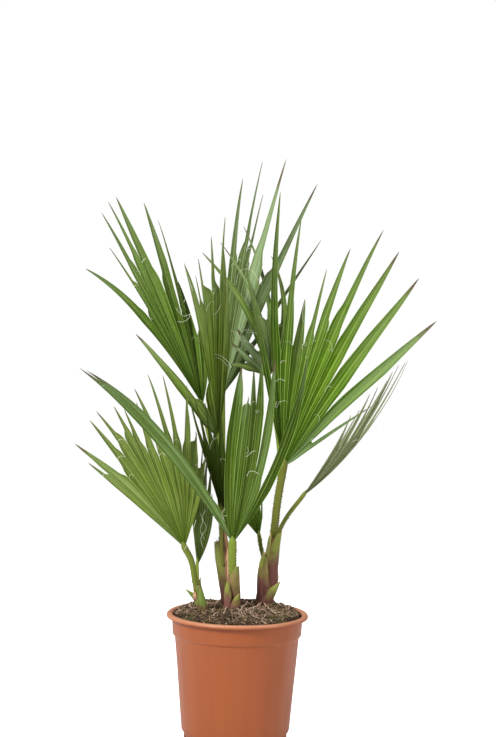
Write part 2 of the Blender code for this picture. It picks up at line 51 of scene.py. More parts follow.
class Nodes:
    """A shader tree, with short names for the nodes that the finishes are made of."""

    def __init__(self, tree):
        self.tree = tree

    def put(self, kind, inputs=None, **settings):
        """Adds a shader node, sets its options, and links or fills its inputs."""
        node = self.tree.nodes.new("ShaderNode" + kind)
        for key, value in settings.items():
            setattr(node, key, value)
        for key, value in (inputs or {}).items():
            socket = node.inputs[key]
            if isinstance(value, bpy.types.NodeSocket):
                self.tree.links.new(value, socket)
            else:
                socket.default_value = (*value, 1) if socket.type == "RGBA" else value
        return node

    def maths(self, operation, first, second=0.0):
        return self.put("Math", {0: first, 1: second}, operation=operation).outputs[0]

    def times(self, first, second):
        return self.maths("MULTIPLY", first, second)

    def minus(self, first, second):
        return self.maths("SUBTRACT", first, second)

    def plus(self, first, second, share=1.0):
        """The first value and a share of the second."""
        return self.maths("ADD", first, second if share == 1.0 else self.times(second, share))

    def mix(self, share, low, high):
        """A colour between two colours, by a share that may change over the surface."""
        return self.put("Mix", {0: share, 6: low, 7: high}, data_type="RGBA").outputs[2]

    def held(self, value, low, high, to_low=0.0, to_high=1.0):
        """A value taken from one range to another and held inside it."""
        inputs = {"Value": value, "From Min": low, "From Max": high, "To Min": to_low, "To Max": to_high}
        return self.put("MapRange", inputs).outputs[0]

    def clouds(self, vector, scale, detail=2.0):
        """A noise value over the surface."""
        return self.put("TexNoise", {"Vector": vector, "Scale": scale, "Detail": detail}).outputs[0]

    def place(self):
        return self.put("TexCoord").outputs["Object"]

    def seen(self):
        """One where the camera looks straight at the surface, and nothing for light that bounces."""
        return self.put("LightPath").outputs["Is Camera Ray"]

    def split(self, vector):
        return self.put("SeparateXYZ", {0: vector}).outputs

    def kept(self, name):
        """The three numbers that each corner keeps under this name."""
        return self.split(self.put("Attribute", attribute_name=name).outputs[1])


class Finish(Nodes):
    """A new material with a Principled shader, its fixed values set on its own sockets."""

    def __init__(self, name, **sockets):
        self.material = bpy.data.materials.new(name)
        self.material.use_nodes = True
        super().__init__(self.material.node_tree)
        self.shader = self.tree.nodes["Principled BSDF"]
        for key, value in sockets.items():
            self.shader.inputs[key.replace("_", " ")].default_value = value

    def link(self, **values):
        for key, value in values.items():
            self.tree.links.new(value, self.shader.inputs[key.replace("_", " ")])

    def bump(self, height, distance, strength=1.0):
        inputs = {"Height": height, "Distance": distance, "Strength": strength}
        self.link(Normal=self.put("Bump", inputs).outputs[0])


FLOOR_RADIUS = 1.5
FLOOR_SIDES = 96

floor_mesh = bpy.data.meshes.new("studio_floor")
floor_edge = [2 * math.pi * i / FLOOR_SIDES for i in range(FLOOR_SIDES)]
floor_mesh.from_pydata([
    (FLOOR_RADIUS * math.cos(angle), FLOOR_RADIUS * math.sin(angle), 0) for angle in floor_edge
], [], [tuple(range(FLOOR_SIDES))])
floor = bpy.data.objects.new("studio_floor", floor_mesh)
bpy.context.scene.collection.objects.link(floor)
paper = Finish("white_paper", Roughness=0.9)
paper_colour = paper.mix(paper.clouds(paper.place(), 90.0), (0.97, 0.97, 0.97), (1, 1, 1))
paper_glow = paper.held(paper.seen(), 0.0, 1.0, 0.0, 0.8)
paper.link(Base_Color=paper_colour, Emission_Color=paper_colour, Emission_Strength=paper_glow)
floor_mesh.materials.append(paper.material)

world = bpy.data.worlds.new("studio_white")
bpy.context.scene.world = world
world.use_nodes = True
sky = Nodes(world.node_tree)
backdrop = sky.tree.nodes["Background"].inputs
backdrop["Color"].default_value = (1, 1, 1, 1)
sky.tree.links.new(sky.held(sky.seen(), 0.0, 1.0, 0.2, 1.0), backdrop["Strength"])

LAMP_AIM = Vector((0, 0, 0.4))
CAMERA_PLACE = (0.0079, -2.181, 0.572)
CAMERA_TILT = 88.0
CAMERA_ROLL = 1.1
FOCAL_LENGTH = 79.86

for lamp_name, place, size, power in (
    ("key", (-1.7, -1.7, 1.8), 0.8, 98.0),
    ("fill", (2.0, -1.3, 1.0), 0.9, 27.0),
    ("overhead", (0.1, 0.2, 2.3), 1.2, 28.0),
):
    lamp = bpy.data.lights.new(lamp_name, "AREA")
    lamp.size = size
    lamp.energy = power
    holder = bpy.data.objects.new(lamp_name, lamp)
    holder.location = place
    holder.rotation_euler = (LAMP_AIM - Vector(place)).to_track_quat("-Z", "Y").to_euler()
    bpy.context.scene.collection.objects.link(holder)

lens = bpy.data.cameras.new("photo_view")
lens.sensor_width = 36.0
lens.lens = FOCAL_LENGTH
camera = bpy.data.objects.new("photo_view", lens)
camera.matrix_world = (
    Matrix.Translation(CAMERA_PLACE)
    @ Matrix.Rotation(math.radians(CAMERA_TILT), 4, "X")
    @ Matrix.Rotation(math.radians(CAMERA_ROLL), 4, "Z")
)
bpy.context.scene.collection.objects.link(camera)
bpy.context.scene.camera = camera
bpy.context.scene.view_settings.view_transform = "Standard"


# Pot. A thin pot moulded from terracotta-coloured polypropylene, satin and a little uneven,
# with a turned-down lip, a wider collar below it, and drainage notches cut in its foot.
POT_HEIGHT = 168.0
LIP_RADIUS = 95.0
LIP_FOOT = 162.8
COLLAR_TOP_RADIUS = 87.5
COLLAR_RADIUS = 86.3
COLLAR_FOOT = 138.5
BODY_TOP_RADIUS = 83.4
BODY_FOOT_RADIUS = 72.4
FOOT_RADIUS = 69.2
FOOT_HEIGHT = 10.0
POT_WALL = 1.6
POT_SIDES = 160
NOTCHES = 8
FIRST_NOTCH = math.radians(-29.5)
NOTCH_SIZE = (10.0, 5.0)
SOIL_EDGE_HEIGHT = 165.5
LIP_HIGHLIGHT_BAND = (0.1655, 0.1685)
ARC_STEPS = 4
OUT_OF_ROUND = 0.5


class Shape:
    """Gathers points and faces in millimetres. Each corner also keeps two triples for the finish:
    its place in the grain (across, along, seed) and its shares (across, along, tint)."""

    def __init__(self):
        self.points = []
        self.faces = []
        self.slots = []
        self.grain = []
        self.share = []

    def point(self, place):
        self.points.append(Vector(place) * MM)
        return len(self.points) - 1

    def face(self, corners, slot=0, grain=None, share=None):
        blank = [(0, 0, 0)] * len(corners)
        self.faces.append(corners)
        self.slots.append(slot)
        self.grain += grain or blank
        self.share += share or blank

    def wall(self, rings, slot, grain, share):
        """Faces between closed rings of points. Grain and share give the triples of a corner from
        its ring and its step round it."""
        for i in range(len(rings) - 1):
            for k in range(len(rings[i])):
                cells = ((i, k), (i, k + 1), (i + 1, k + 1), (i + 1, k))
                self.face(tuple(rings[a][b % len(rings[a])] for a, b in cells), slot,
                          [grain(a, b) for a, b in cells], [share(a, b) for a, b in cells])

    def tube(self, route, widths, sides, slot, seed=0.0, tint=0.5, depth=1.0):
        """A closed tube along a route, its frame carried along so that it doesn't twist."""
        rings = []
        reached = []
        side = Vector((1, 0, 0))
        length = 0.0
        for i, centre in enumerate(route):
            along = (route[min(i + 1, len(route) - 1)] - route[max(i - 1, 0)]).normalized()
            side = side - along * side.dot(along)
            side = side.normalized() if side.length > 1e-4 else along.orthogonal().normalized()
            deep = along.cross(side)
            if i:
                length += (centre - route[i - 1]).length
            ring = []
            for k in range(sides):
                angle = 2 * math.pi * (k + 0.5) / sides
                out = side * math.cos(angle) + deep * (depth * math.sin(angle))
                ring.append(self.point(centre + out * widths[i]))
            rings.append(ring)
            reached.append(length)
        self.wall(rings, slot, lambda a, b: (2 * math.pi * b / sides * widths[a], reached[a], seed),
                  lambda a, b: (b / sides, a / (len(rings) - 1), tint))
        for ring, at, share in ((rings[0][::-1], 0.0, 0.0), (rings[-1], length, 1.0)):
            self.face(tuple(ring), slot, [(0.0, at, seed)] * sides, [(0.5, share, tint)] * sides)

    def piece(self, name, finishes, nodes, slot, crease):
        """The finished object, on the root body, in place of the CAD nodes it stands for."""
        mesh = bpy.data.meshes.new(name)
        mesh.from_pydata(self.points, [], self.faces)
        for key, values in (("grain", self.grain), ("share", self.share)):
            layer = mesh.attributes.new(key, "FLOAT_VECTOR", "CORNER")
            layer.data.foreach_set("vector", [number for value in values for number in value])
        mesh.polygons.foreach_set("material_index", self.slots)
        mesh.shade_smooth()
        mesh.set_sharp_from_angle(angle=math.radians(crease))
        for finish in finishes:
            mesh.materials.append(finish.material)
        made = bpy.data.objects.new(name, mesh)
        bpy.context.scene.collection.objects.link(made)
        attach(made, "root")
        if nodes:
            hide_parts(*nodes)
        return made


def rounded(outline):
    """An outline of (radius, height, rounding) with each corner turned into a small arc."""
    smooth = []
    for i, (radius, height, rounding) in enumerate(outline):
        here = Vector((radius, height))
        if rounding == 0 or i in (0, len(outline) - 1):
            smooth.append(here)
            continue
        before = Vector(outline[i - 1][:2]) - here
        after = Vector(outline[i + 1][:2]) - here
        start = here + before.normalized() * min(rounding, before.length * 0.49)
        end = here + after.normalized() * min(rounding, after.length * 0.49)
        for step in range(ARC_STEPS + 1):
            t = step / ARC_STEPS
            smooth.append(start * (1 - t) ** 2 + here * (2 * t * (1 - t)) + end * t * t)
    return smooth


def lathe(shape, outline):
    """Turns an outline that starts and ends on the axis, a little out of round."""
    rings = []
    for radius, height in outline:
        ring = []
        for k in range(POT_SIDES):
            angle = 2 * math.pi * k / POT_SIDES
            out = Vector((math.cos(angle), math.sin(angle), 0.0))
            if radius < 0.01:
                ring.append(ring[0] if ring else shape.point((0, 0, height)))
            else:
                off = OUT_OF_ROUND * noise.noise(Vector((out.x * 1.3, out.y * 1.3, height / 60.0)))
                ring.append(shape.point(out * (radius + off) + Vector((0, 0, height))))
        rings.append((ring, height))
    for (low, low_at), (high, _) in zip(rings, rings[1:]):
        for k in range(POT_SIDES):
            following = (k + 1) % POT_SIDES
            corners = tuple(dict.fromkeys((low[k], low[following], high[following], high[k])))
            shape.face(corners, grain=[(k, low_at, 0.0)] * len(corners))


pot_shape = Shape()
body_slope = (BODY_TOP_RADIUS - BODY_FOOT_RADIUS) / (COLLAR_FOOT - FOOT_HEIGHT)
pot_outside = [
    (0, 1.2, 0), (FOOT_RADIUS - 6.0, 1.2, 1.0), (FOOT_RADIUS - 4.5, 0, 0.8), (FOOT_RADIUS, 0, 1.2),
    (FOOT_RADIUS, FOOT_HEIGHT - 1.6, 1.2), (BODY_FOOT_RADIUS, FOOT_HEIGHT + 1.2, 2.0),
    (BODY_FOOT_RADIUS + body_slope * 40, 50, 0), (BODY_FOOT_RADIUS + body_slope * 90, 100, 0),
    (BODY_TOP_RADIUS, COLLAR_FOOT - 1.0, 1.0), (COLLAR_RADIUS, COLLAR_FOOT + 1.2, 1.6),
    (COLLAR_TOP_RADIUS, LIP_FOOT - 0.6, 0.6), (COLLAR_TOP_RADIUS, POT_HEIGHT - POT_WALL - 1.2, 0.8),
    (COLLAR_TOP_RADIUS + 1.2, POT_HEIGHT - POT_WALL, 0.6),
    (LIP_RADIUS - POT_WALL - 0.9, POT_HEIGHT - POT_WALL, 0.8),
    (LIP_RADIUS - POT_WALL, LIP_FOOT + 1.5, 0.4), (LIP_RADIUS - POT_WALL - 0.3, LIP_FOOT, 0.4),
    (LIP_RADIUS - 0.4, LIP_FOOT, 0.7), (LIP_RADIUS, POT_HEIGHT - 2.2, 1.4),
    (LIP_RADIUS - 2.0, POT_HEIGHT, 1.6), (COLLAR_TOP_RADIUS + 1.0, POT_HEIGHT, 1.4),
    (COLLAR_TOP_RADIUS - POT_WALL, POT_HEIGHT - 2.4, 1.6),
]
pot_inside = [
    (COLLAR_TOP_RADIUS - POT_WALL - 0.1, SOIL_EDGE_HEIGHT - 4, 0),
    (COLLAR_RADIUS - POT_WALL, COLLAR_FOOT + 1.5, 1.0),
    (BODY_TOP_RADIUS - POT_WALL, COLLAR_FOOT - 1.0, 1.0),
    (BODY_FOOT_RADIUS - POT_WALL, FOOT_HEIGHT + 2.0, 1.0), (FOOT_RADIUS - POT_WALL, FOOT_HEIGHT, 1.0),
    (FOOT_RADIUS - POT_WALL, 3.0, 1.0), (0, 3.0, 0),
]
lathe(pot_shape, rounded(pot_outside + pot_inside))

clay = Finish("terracotta_plastic", Roughness=0.42, Specular_IOR_Level=0.3)
where = clay.place()
clouds = clay.clouds(where, 9.0, 3.0)
specks = clay.clouds(where, 420.0)
flow = clay.clouds(clay.put("Mapping", {"Vector": where, "Scale": (60, 60, 3)}).outputs[0], 1.0)
colour = clay.mix(clouds, (0.255, 0.06, 0.013), (0.285, 0.072, 0.018))
colour = clay.mix(clay.held(specks, 0.62, 0.75, 0.0, 0.35), colour, (0.36, 0.115, 0.045))
colour = clay.mix(clay.held(flow, 0.35, 0.75, 0.0, 0.3), colour, (0.22, 0.043, 0.009))
# Painted highlight: a pale band round the top of the rolled lip, where the light catches its edge.
lip_highlight = clay.held(clay.plus(clay.split(where)[2], clouds, 0.004), *LIP_HIGHLIGHT_BAND)
colour = clay.mix(clay.times(lip_highlight, 0.5), colour, (0.66, 0.33, 0.2))
clay.link(Base_Color=colour, Roughness=clay.held(flow, 0.3, 0.8, 0.36, 0.5))
clay.bump(clay.plus(clay.times(specks, 0.25), flow), 0.0002, 0.35)
pot = pot_shape.piece("nursery_pot", [clay], ["pot"], "pot", crease=50.0)

notch_cutters = Shape()
for i in range(NOTCHES):
    angle = FIRST_NOTCH + 2 * math.pi * i / NOTCHES
    outward = Vector((math.cos(angle), math.sin(angle), 0.0))
    across = Vector((-outward.y, outward.x, 0.0)) * NOTCH_SIZE[0] / 2
    corners = []
    for up, pinch in ((-1.0, 1.0), (NOTCH_SIZE[1] * 0.7, 1.0), (NOTCH_SIZE[1], 0.72)):
        for reach in (FOOT_RADIUS - 9.0, FOOT_RADIUS + 4.0):
            for side in (-pinch, pinch):
                corners.append(notch_cutters.point(outward * reach + across * side + Vector((0, 0, up))))
    for side in ((0, 1, 3, 2), (8, 10, 11, 9), (0, 4, 5, 1), (4, 8, 9, 5), (2, 3, 7, 6),
                 (6, 7, 11, 10), (0, 2, 6, 4), (4, 6, 10, 8), (1, 5, 7, 3), (5, 9, 11, 7)):
        notch_cutters.face(tuple(corners[c] for c in side))
cutter_mesh = bpy.data.meshes.new("notch_cutters")
cutter_mesh.from_pydata(notch_cutters.points, [], notch_cutters.faces)
cutter = bpy.data.objects.new("notch_cutters", cutter_mesh)
bpy.context.scene.collection.objects.link(cutter)
cut = pot.modifiers.new("notches", "BOOLEAN")
cut.operation = "DIFFERENCE"
cut.object = cutter
view = bpy.context.evaluated_depsgraph_get()
cut_mesh = bpy.data.meshes.new_from_object(pot.evaluated_get(view))
pot.modifiers.clear()
pot.data = cut_mesh
bpy.data.objects.remove(cutter, do_unlink=True)


# Potting soil. Dark moist peat with tan fibres, bits of bark and pale wiry roots, heaped level
# with the lip and pressed round the stems. Crumbs, fibres and roots lie loose on its surface.
SOIL_RADIUS = 85.3
SOIL_MOUND = 8.5
SOIL_RINGS = 64
SOIL_SIDES = 180
CRUMBS = 3400
FIBRES = 2300
FIBRE, ROOT = range(2)
SOIL_TINT = (0, 0, 0.1)


def soil_height(x, y):
    """The soil's surface: a low mound, small heaps and hollows, and crumbs finer than those."""
    reach = min(1.0, math.hypot(x, y) / SOIL_RADIUS)
    heaps = noise.noise(Vector((x, y, 0.0)) / 11.0) * 3.2
    heaps += noise.noise(Vector((x, y, 40.0)) / 4.2) * 2.2
    grit = noise.noise(Vector((x, y, 80.0)) / 1.6) * 0.9
    return SOIL_EDGE_HEIGHT - 0.5 + (SOIL_MOUND + heaps) * (1.0 - reach ** 12) + grit


def flecked(finish, dark, middle, light):
    """A colour from dark to light by the tint that each crumb, fibre or patch has."""
    ramp = finish.put("ValToRGB", {"Fac": finish.kept("share")[2]})
    ramp.color_ramp.elements[0].color = (*dark, 1)
    ramp.color_ramp.elements[1].color = (*light, 1)
    ramp.color_ramp.elements.new(0.5).color = (*middle, 1)
    return ramp.outputs[0]


def soil_ring(radius, buried_at=None):
    """A ring of points on the soil's surface, or at a height under it."""
    ring = []
    for k in range(SOIL_SIDES):
        angle = 2 * math.pi * k / SOIL_SIDES
        x, y = radius * math.cos(angle), radius * math.sin(angle)
        height = soil_height(x, y) if buried_at is None else buried_at
        ring.append(soil_shape.point((x, y, height)))
    return ring


soil_shape = Shape()
soil_rings = [soil_ring(SOIL_RADIUS * (i + 0.5) / SOIL_RINGS) for i in range(SOIL_RINGS)]
soil_rings += [soil_ring(SOIL_RADIUS - 0.2, 158.0), soil_ring(SOIL_RADIUS - 8.0, 150.0)]
for low, high in zip(soil_rings, soil_rings[1:]):
    for k in range(SOIL_SIDES):
        following = (k + 1) % SOIL_SIDES
        soil_shape.face((low[k], high[k], high[following], low[following]), share=[SOIL_TINT] * 4)
for ring in (soil_rings[0], soil_rings[-1][::-1]):
    soil_shape.face(tuple(ring), share=[SOIL_TINT] * SOIL_SIDES)

draw = random.Random(41)
CRUMB_CORNERS = [Vector(v) for v in (
    (1, 0, 0), (-1, 0, 0), (0, 1, 0), (0, -1, 0), (0, 0, 1), (0, 0, -1))]
CRUMB_FACES = ((0, 2, 4), (2, 1, 4), (1, 3, 4), (3, 0, 4), (2, 0, 5), (1, 2, 5), (3, 1, 5), (0, 3, 5))
for i in range(CRUMBS):
    radius = (SOIL_RADIUS - 1.5) * math.sqrt(draw.random())
    angle = draw.uniform(0, 2 * math.pi)
    x, y = radius * math.cos(angle), radius * math.sin(angle)
    size = draw.choice((0.6, 0.9, 0.9, 1.2, 1.2, 1.7, 2.4)) * draw.uniform(0.7, 1.2)
    turn = Matrix.Rotation(draw.uniform(0, 6.3), 3, "Z") @ Matrix.Rotation(draw.uniform(-1, 1), 3, "X")
    spot = Vector((x, y, soil_height(x, y) + size * 0.25))
    shape_of_it = Vector((size * draw.uniform(0.8, 1.7), size, size * draw.uniform(0.5, 0.9)))
    corners = [
        soil_shape.point(spot + turn @ Vector((c.x * shape_of_it.x, c.y * shape_of_it.y,
                                               c.z * shape_of_it.z)) * draw.uniform(0.75, 1.2))
        for c in CRUMB_CORNERS
    ]
    tint = draw.choice((0.05, 0.15, 0.25, 0.4, 0.5, 0.65, 0.85)) + draw.uniform(-0.05, 0.08)
    for face in CRUMB_FACES:
        soil_shape.face(tuple(corners[c] for c in face), 0, [(0, 0, i)] * 3, [(0, 0, tint)] * 3)

peat = Finish("moist_peat", Roughness=0.9, IOR=1.4)
where = peat.place()
grit = peat.clouds(where, 900.0, 3.0)
moss = peat.held(peat.clouds(where, 45.0), 0.52, 0.66, 0.0, 0.5)
colour = flecked(peat, (0.01, 0.005, 0.002), (0.085, 0.045, 0.018), (0.4, 0.28, 0.17))
colour = peat.mix(peat.held(grit, 0.52, 0.72, 0.0, 0.5), colour, (0.24, 0.155, 0.09))
peat.link(Base_Color=peat.mix(moss, colour, (0.085, 0.085, 0.018)))
peat.bump(grit, 0.0012)
soil_shape.piece("potting_soil", [peat], ["soil"], "soil", crease=60.0)

fibre_shape = Shape()
draw = random.Random(17)
for i in range(FIBRES):
    radius = (SOIL_RADIUS - 3.0) * math.sqrt(draw.random())
    angle = draw.uniform(0, 2 * math.pi)
    spot = Vector((radius * math.cos(angle), radius * math.sin(angle), 0.0))
    heading = draw.uniform(0, 2 * math.pi)
    bend = draw.uniform(-0.5, 0.5)
    step = draw.choice((0.9, 1.2, 1.6, 2.2, 3.0))
    lift = draw.choice((0.2, 0.3, 0.5, 0.9))
    rise = draw.choice((0.0, 0.0, 0.1, 0.35))
    route = []
    for k in range(5):
        inside = math.hypot(spot.x, spot.y) < SOIL_RADIUS - 1.5
        base = soil_height(spot.x, spot.y) if inside or not route else route[-1].z - 0.4
        route.append(Vector((spot.x, spot.y, base + lift + rise * k * step)))
        heading += bend
        spot += Vector((math.cos(heading), math.sin(heading), 0.0)) * (step if inside else step * 0.3)
    width = draw.choice((0.18, 0.22, 0.3, 0.45))
    tint = draw.choice((0.1, 0.35, 0.5, 0.6, 0.75, 0.9, 1.0))
    fibre_shape.tube(route, [width, width, width * 0.9, width * 0.8, width * 0.3], 3, FIBRE, i, tint, 0.7)

# Points on the soil for each root, most of them read off the photograph and converted to
# millimetres beforehand, and its half width.
ROOTS = (
    ([(25, 58), (17, 38), (10, 14), (6, -12), (5, -37), (8, -61)], 0.75),
    ([(33, 51), (37, 21), (41, -6), (46, -29), (52, -46)], 0.75),
    ([(-28, 37), (-30, 10), (-32, -16), (-33, -37)], 0.7),
    ([(-18, -43), (-15, -14), (-9, 3), (-2, -8), (4, -34)], 0.8),
    ([(-3, -43), (8, -28), (18, -44), (27, -68)], 0.5),
    ([(29, 5), (19, -18), (17, -46), (23, -67), (34, -66), (41, -37)], 0.5),
    ([(33, 33), (25, 2), (14, -6), (8, -43)], 0.6),
    ([(3, -2), (13, -19), (25, -11), (37, -20), (44, -55)], 0.5),
    ([(-44, 20), (-30, 30), (-14, 52), (4, 50), (14, 38)], 0.5),
    ([(52, 30), (64, 22), (70, 4), (62, -20)], 0.45),
    ([(-58, -8), (-66, 8), (-60, 30), (-46, 44)], 0.45),
)


def smooth_route(points, steps):
    """Points along a smooth curve through the given ones, with even steps between them."""
    route = [Vector(point) for point in points]
    route = [2 * route[0] - route[1]] + route + [2 * route[-1] - route[-2]]
    smooth = []
    for i in range(1, len(route) - 2):
        before, start, end, after = route[i - 1:i + 3]
        for step in range(steps):
            t = step / steps
            smooth.append(0.5 * (
                2 * start + (end - before) * t
                + (2 * before - 5 * start + 4 * end - after) * t * t
                + (3 * start - before - 3 * end + after) * t ** 3
            ))
    smooth.append(route[-2])
    return smooth


for i, (points, width) in enumerate(ROOTS):
    flat = smooth_route([(x, y, 0.0) for x, y in points], 9)
    route = [
        Vector((p.x, p.y, soil_height(p.x, p.y) + width + 1.5 + 1.1 * math.sin(k * 0.55 + i)))
        for k, p in enumerate(flat)
    ]
    widths = [width * (1.35 - 0.7 * k / (len(route) - 1)) for k in range(len(route))]
    fibre_shape.tube(route, widths, 6, ROOT, i, 0.5)

peat_fibre = Finish("peat_fibre", Roughness=0.85)
colour = flecked(peat_fibre, (0.05, 0.026, 0.012), (0.21, 0.13, 0.07), (0.46, 0.33, 0.21))
peat_fibre.link(Base_Color=colour)
wiry_root = Finish("wiry_root", Roughness=0.7)
knots = wiry_root.clouds(wiry_root.put("Attribute", attribute_name="grain").outputs[1], 0.8)
wiry_root.link(Base_Color=wiry_root.mix(knots, (0.3, 0.17, 0.12), (0.66, 0.48, 0.36)))
wiry_root.bump(knots, 0.0003)
fibre_shape.piece("soil_fibres", [peat_fibre, wiry_root], [], "soil", crease=80.0)


# Stems. Each palm has no trunk yet: its stem is a bundle of leaf bases wrapped round each other,
# purple-brown at the soil and green above, with old leaves cut off to short pointed stubs.
STEM_SIDES = 28
STEM_GRAIN = 2.6
SHEATH_WALL = 1.1
SHEATH_COLUMNS = 12
HAIR_WIDTHS = [0.22, 0.22, 0.2, 0.18, 0.14, 0.06]
SIDE_WRAP = 72
SIDE_SEED = 51.0
OLD, GREEN, TAN, HAIR, YOUNG, CUT, FADING = range(7)


class Skin(Nodes):
    """A shader group that several finishes share, each with its own colours and numbers."""

    def __init__(self, name, colours, numbers):
        super().__init__(bpy.data.node_groups.new(name, "ShaderNodeTree"))
        sockets = [("INPUT", key, "Color") for key in colours]
        sockets += [("INPUT", key, "Float") for key in numbers]
        sockets += [("OUTPUT", "Colour", "Color"), ("OUTPUT", "Height", "Float"),
                    ("OUTPUT", "Roughness", "Float")]
        for way, key, kind in sockets:
            self.tree.interface.new_socket(key, in_out=way, socket_type="NodeSocket" + kind)
        self.given = self.tree.nodes.new("NodeGroupInput").outputs
        self.across, self.along, self.seed = self.kept("grain")

    def drawn_out(self, across_scale, along_scale, shift=0.0, detail=3.0):
        """Noise drawn out along the fibres, different on each blade and leaf base."""
        vector = self.put("CombineXYZ", {
            0: self.times(self.across, across_scale), 1: self.times(self.along, along_scale),
            2: self.plus(self.seed, shift)})
        return self.clouds(vector.outputs[0], 1.0, detail)

    def give(self, *values):
        """Ends the group with its colour, height and roughness."""
        for value, socket in zip(values, self.tree.nodes.new("NodeGroupOutput").inputs):
            self.tree.links.new(value, socket)

    def finish(self, name, bump, values, **sockets):
        """A finish in this skin, given its colours and numbers in order."""
        look = Finish(name, IOR=1.45, **sockets)
        skin = look.put("Group", dict(enumerate(values)), node_tree=self.tree).outputs
        look.link(Base_Color=skin["Colour"], Roughness=skin["Roughness"])
        look.bump(skin["Height"], bump)
        return look


# The skin of stalks and leaf bases: long fibres, a colour that turns from foot to tip, a dry rim.
bark = Skin("stalk_skin", ("Foot", "Middle", "Tip", "Rim"), ("Turn", "Dry", "Rim share"))
side_share, along_share, tint = bark.kept("share")
fibres = bark.drawn_out(1.5, 0.06)
patches = bark.drawn_out(0.2, 0.07)
ragged = bark.plus(along_share, bark.minus(patches, 0.5), 0.7)
above_turn = bark.held(bark.minus(ragged, bark.given["Turn"]), -0.16, 0.16)
colour = bark.mix(above_turn, bark.given["Foot"], bark.given["Middle"])
dried = bark.held(bark.minus(ragged, bark.given["Dry"]), -0.06, 0.1)
colour = bark.mix(dried, colour, bark.given["Tip"])
shade = bark.held(fibres, 0.3, 0.7, 0.0, 0.45)
colour = bark.mix(shade, colour, bark.mix(0.55, colour, (0.02, 0.012, 0.006)))
rim = bark.times(bark.held(bark.maths("ABSOLUTE", side_share), 0.8, 0.98), bark.given["Rim share"])
bark.give(bark.mix(rim, colour, bark.given["Rim"]), bark.plus(fibres, patches, 0.6),
          bark.held(patches, 0.3, 0.7, 0.4, 0.62))


def stalk_finish(name, *values, bump=0.0006):
    """A stalk or leaf base: its foot, middle, tip and rim colours, and where it turns and dries."""
    return bark.finish(name, bump, values, Specular_IOR_Level=0.2)


def stem_core(shape, rings, slot):
    """The wrapped heart of a stem, ribbed by the fibres of its old leaf bases."""
    centres = smooth_route([ring[:3] for ring in rings], 12)
    sizes = smooth_route([(ring[3], ring[4], 0.0) for ring in rings], 12)
    loops = []
    for centre, size in zip(centres, sizes):
        loop = []
        for k in range(STEM_SIDES):
            angle = 2 * math.pi * k / STEM_SIDES
            rib = 1.0 + 0.07 * noise.noise(Vector((
                math.cos(angle) * 3.5, math.sin(angle) * 3.5, centre.z / 26.0 + centre.x)))
            loop.append(shape.point(centre + Vector((
                size.x * 0.97 * rib * math.cos(angle), size.y * 0.97 * rib * math.sin(angle), 0.0))))
        loops.append(loop)
    shape.wall(loops, slot, lambda a, b: (b * STEM_GRAIN, centres[a].z, centres[0].x),
               lambda a, b: (0.0, a / (len(loops) - 1), 0.5))
    for loop, at, share in ((loops[-1], centres[-1].z, 1.0), (loops[0][::-1], centres[0].z, 0.0)):
        shape.face(tuple(loop), slot, [(0.0, at, centres[0].x)] * STEM_SIDES,
                   [(0.0, share, 0.5)] * STEM_SIDES)


def sheath(shape, route, widths, wrap, outward, slot, seed):
    """A leaf base: a trough that hugs the stem, wide at its foot and cut or weathered to a point."""
    centres = smooth_route(route, 8)
    spans = smooth_route([(w, 0, 0) for w in widths], max(1, round(
        (len(centres) - 1) / (len(widths) - 1))))
    rows = []
    out = Vector(outward).normalized()
    for i, centre in enumerate(centres):
        along = (centres[min(i + 1, len(centres) - 1)] - centres[max(i - 1, 0)]).normalized()
        away = (out - along * out.dot(along)).normalized()
        side = along.cross(away)
        width = max(0.25, spans[min(i, len(spans) - 1)].x)
        radius = width / math.sin(math.radians(wrap))
        share = i / (len(centres) - 1)
        row = []
        for k in range(SHEATH_COLUMNS + 1):
            turn = math.radians(wrap) * (2 * k / SHEATH_COLUMNS - 1)
            ripple = 0.25 * noise.noise(Vector((k * 0.9, share * 3.0, seed)))
            base = centre + side * (radius * math.sin(turn)) + away * (radius * (math.cos(turn) - 1))
            normal = side * math.sin(turn) + away * math.cos(turn)
            thick = SHEATH_WALL * (1.0 - 0.75 * abs(2 * k / SHEATH_COLUMNS - 1) ** 3) * (1.0 - 0.4 * share)
            row.append((base + normal * ripple, normal * thick, turn * radius))
        rows.append(row)
    outer = [[shape.point(p + t * 0.5) for p, t, a in row] for row in rows]
    inner = [[shape.point(p - t * 0.5) for p, t, a in row] for row in rows]
    last = len(rows) - 1

    def strip(corners, cells):
        shape.face(
            tuple(corners), slot,
            [(rows[i][k][2], 4.0 * i, seed) for i, k in cells],
            [(2 * k / SHEATH_COLUMNS - 1, i / last, 0.5) for i, k in cells],
        )

    for i in range(last):
        for k in range(SHEATH_COLUMNS):
            cells = ((i, k), (i, k + 1), (i + 1, k + 1), (i + 1, k))
            strip([outer[a][b] for a, b in cells], cells)
            strip([inner[a][b] for a, b in cells[::-1]], cells[::-1])
        for k, flip in ((0, 1), (SHEATH_COLUMNS, -1)):
            corners = [outer[i][k], outer[i + 1][k], inner[i + 1][k], inner[i][k]][::flip]
            strip(corners, ((i, k), (i + 1, k), (i + 1, k), (i, k))[::flip])
    for k in range(SHEATH_COLUMNS):
        strip([outer[0][k + 1], outer[0][k], inner[0][k], inner[0][k + 1]],
              ((0, k + 1), (0, k), (0, k), (0, k + 1)))
        strip([outer[last][k], outer[last][k + 1], inner[last][k + 1], inner[last][k]],
              ((last, k), (last, k + 1), (last, k + 1), (last, k)))


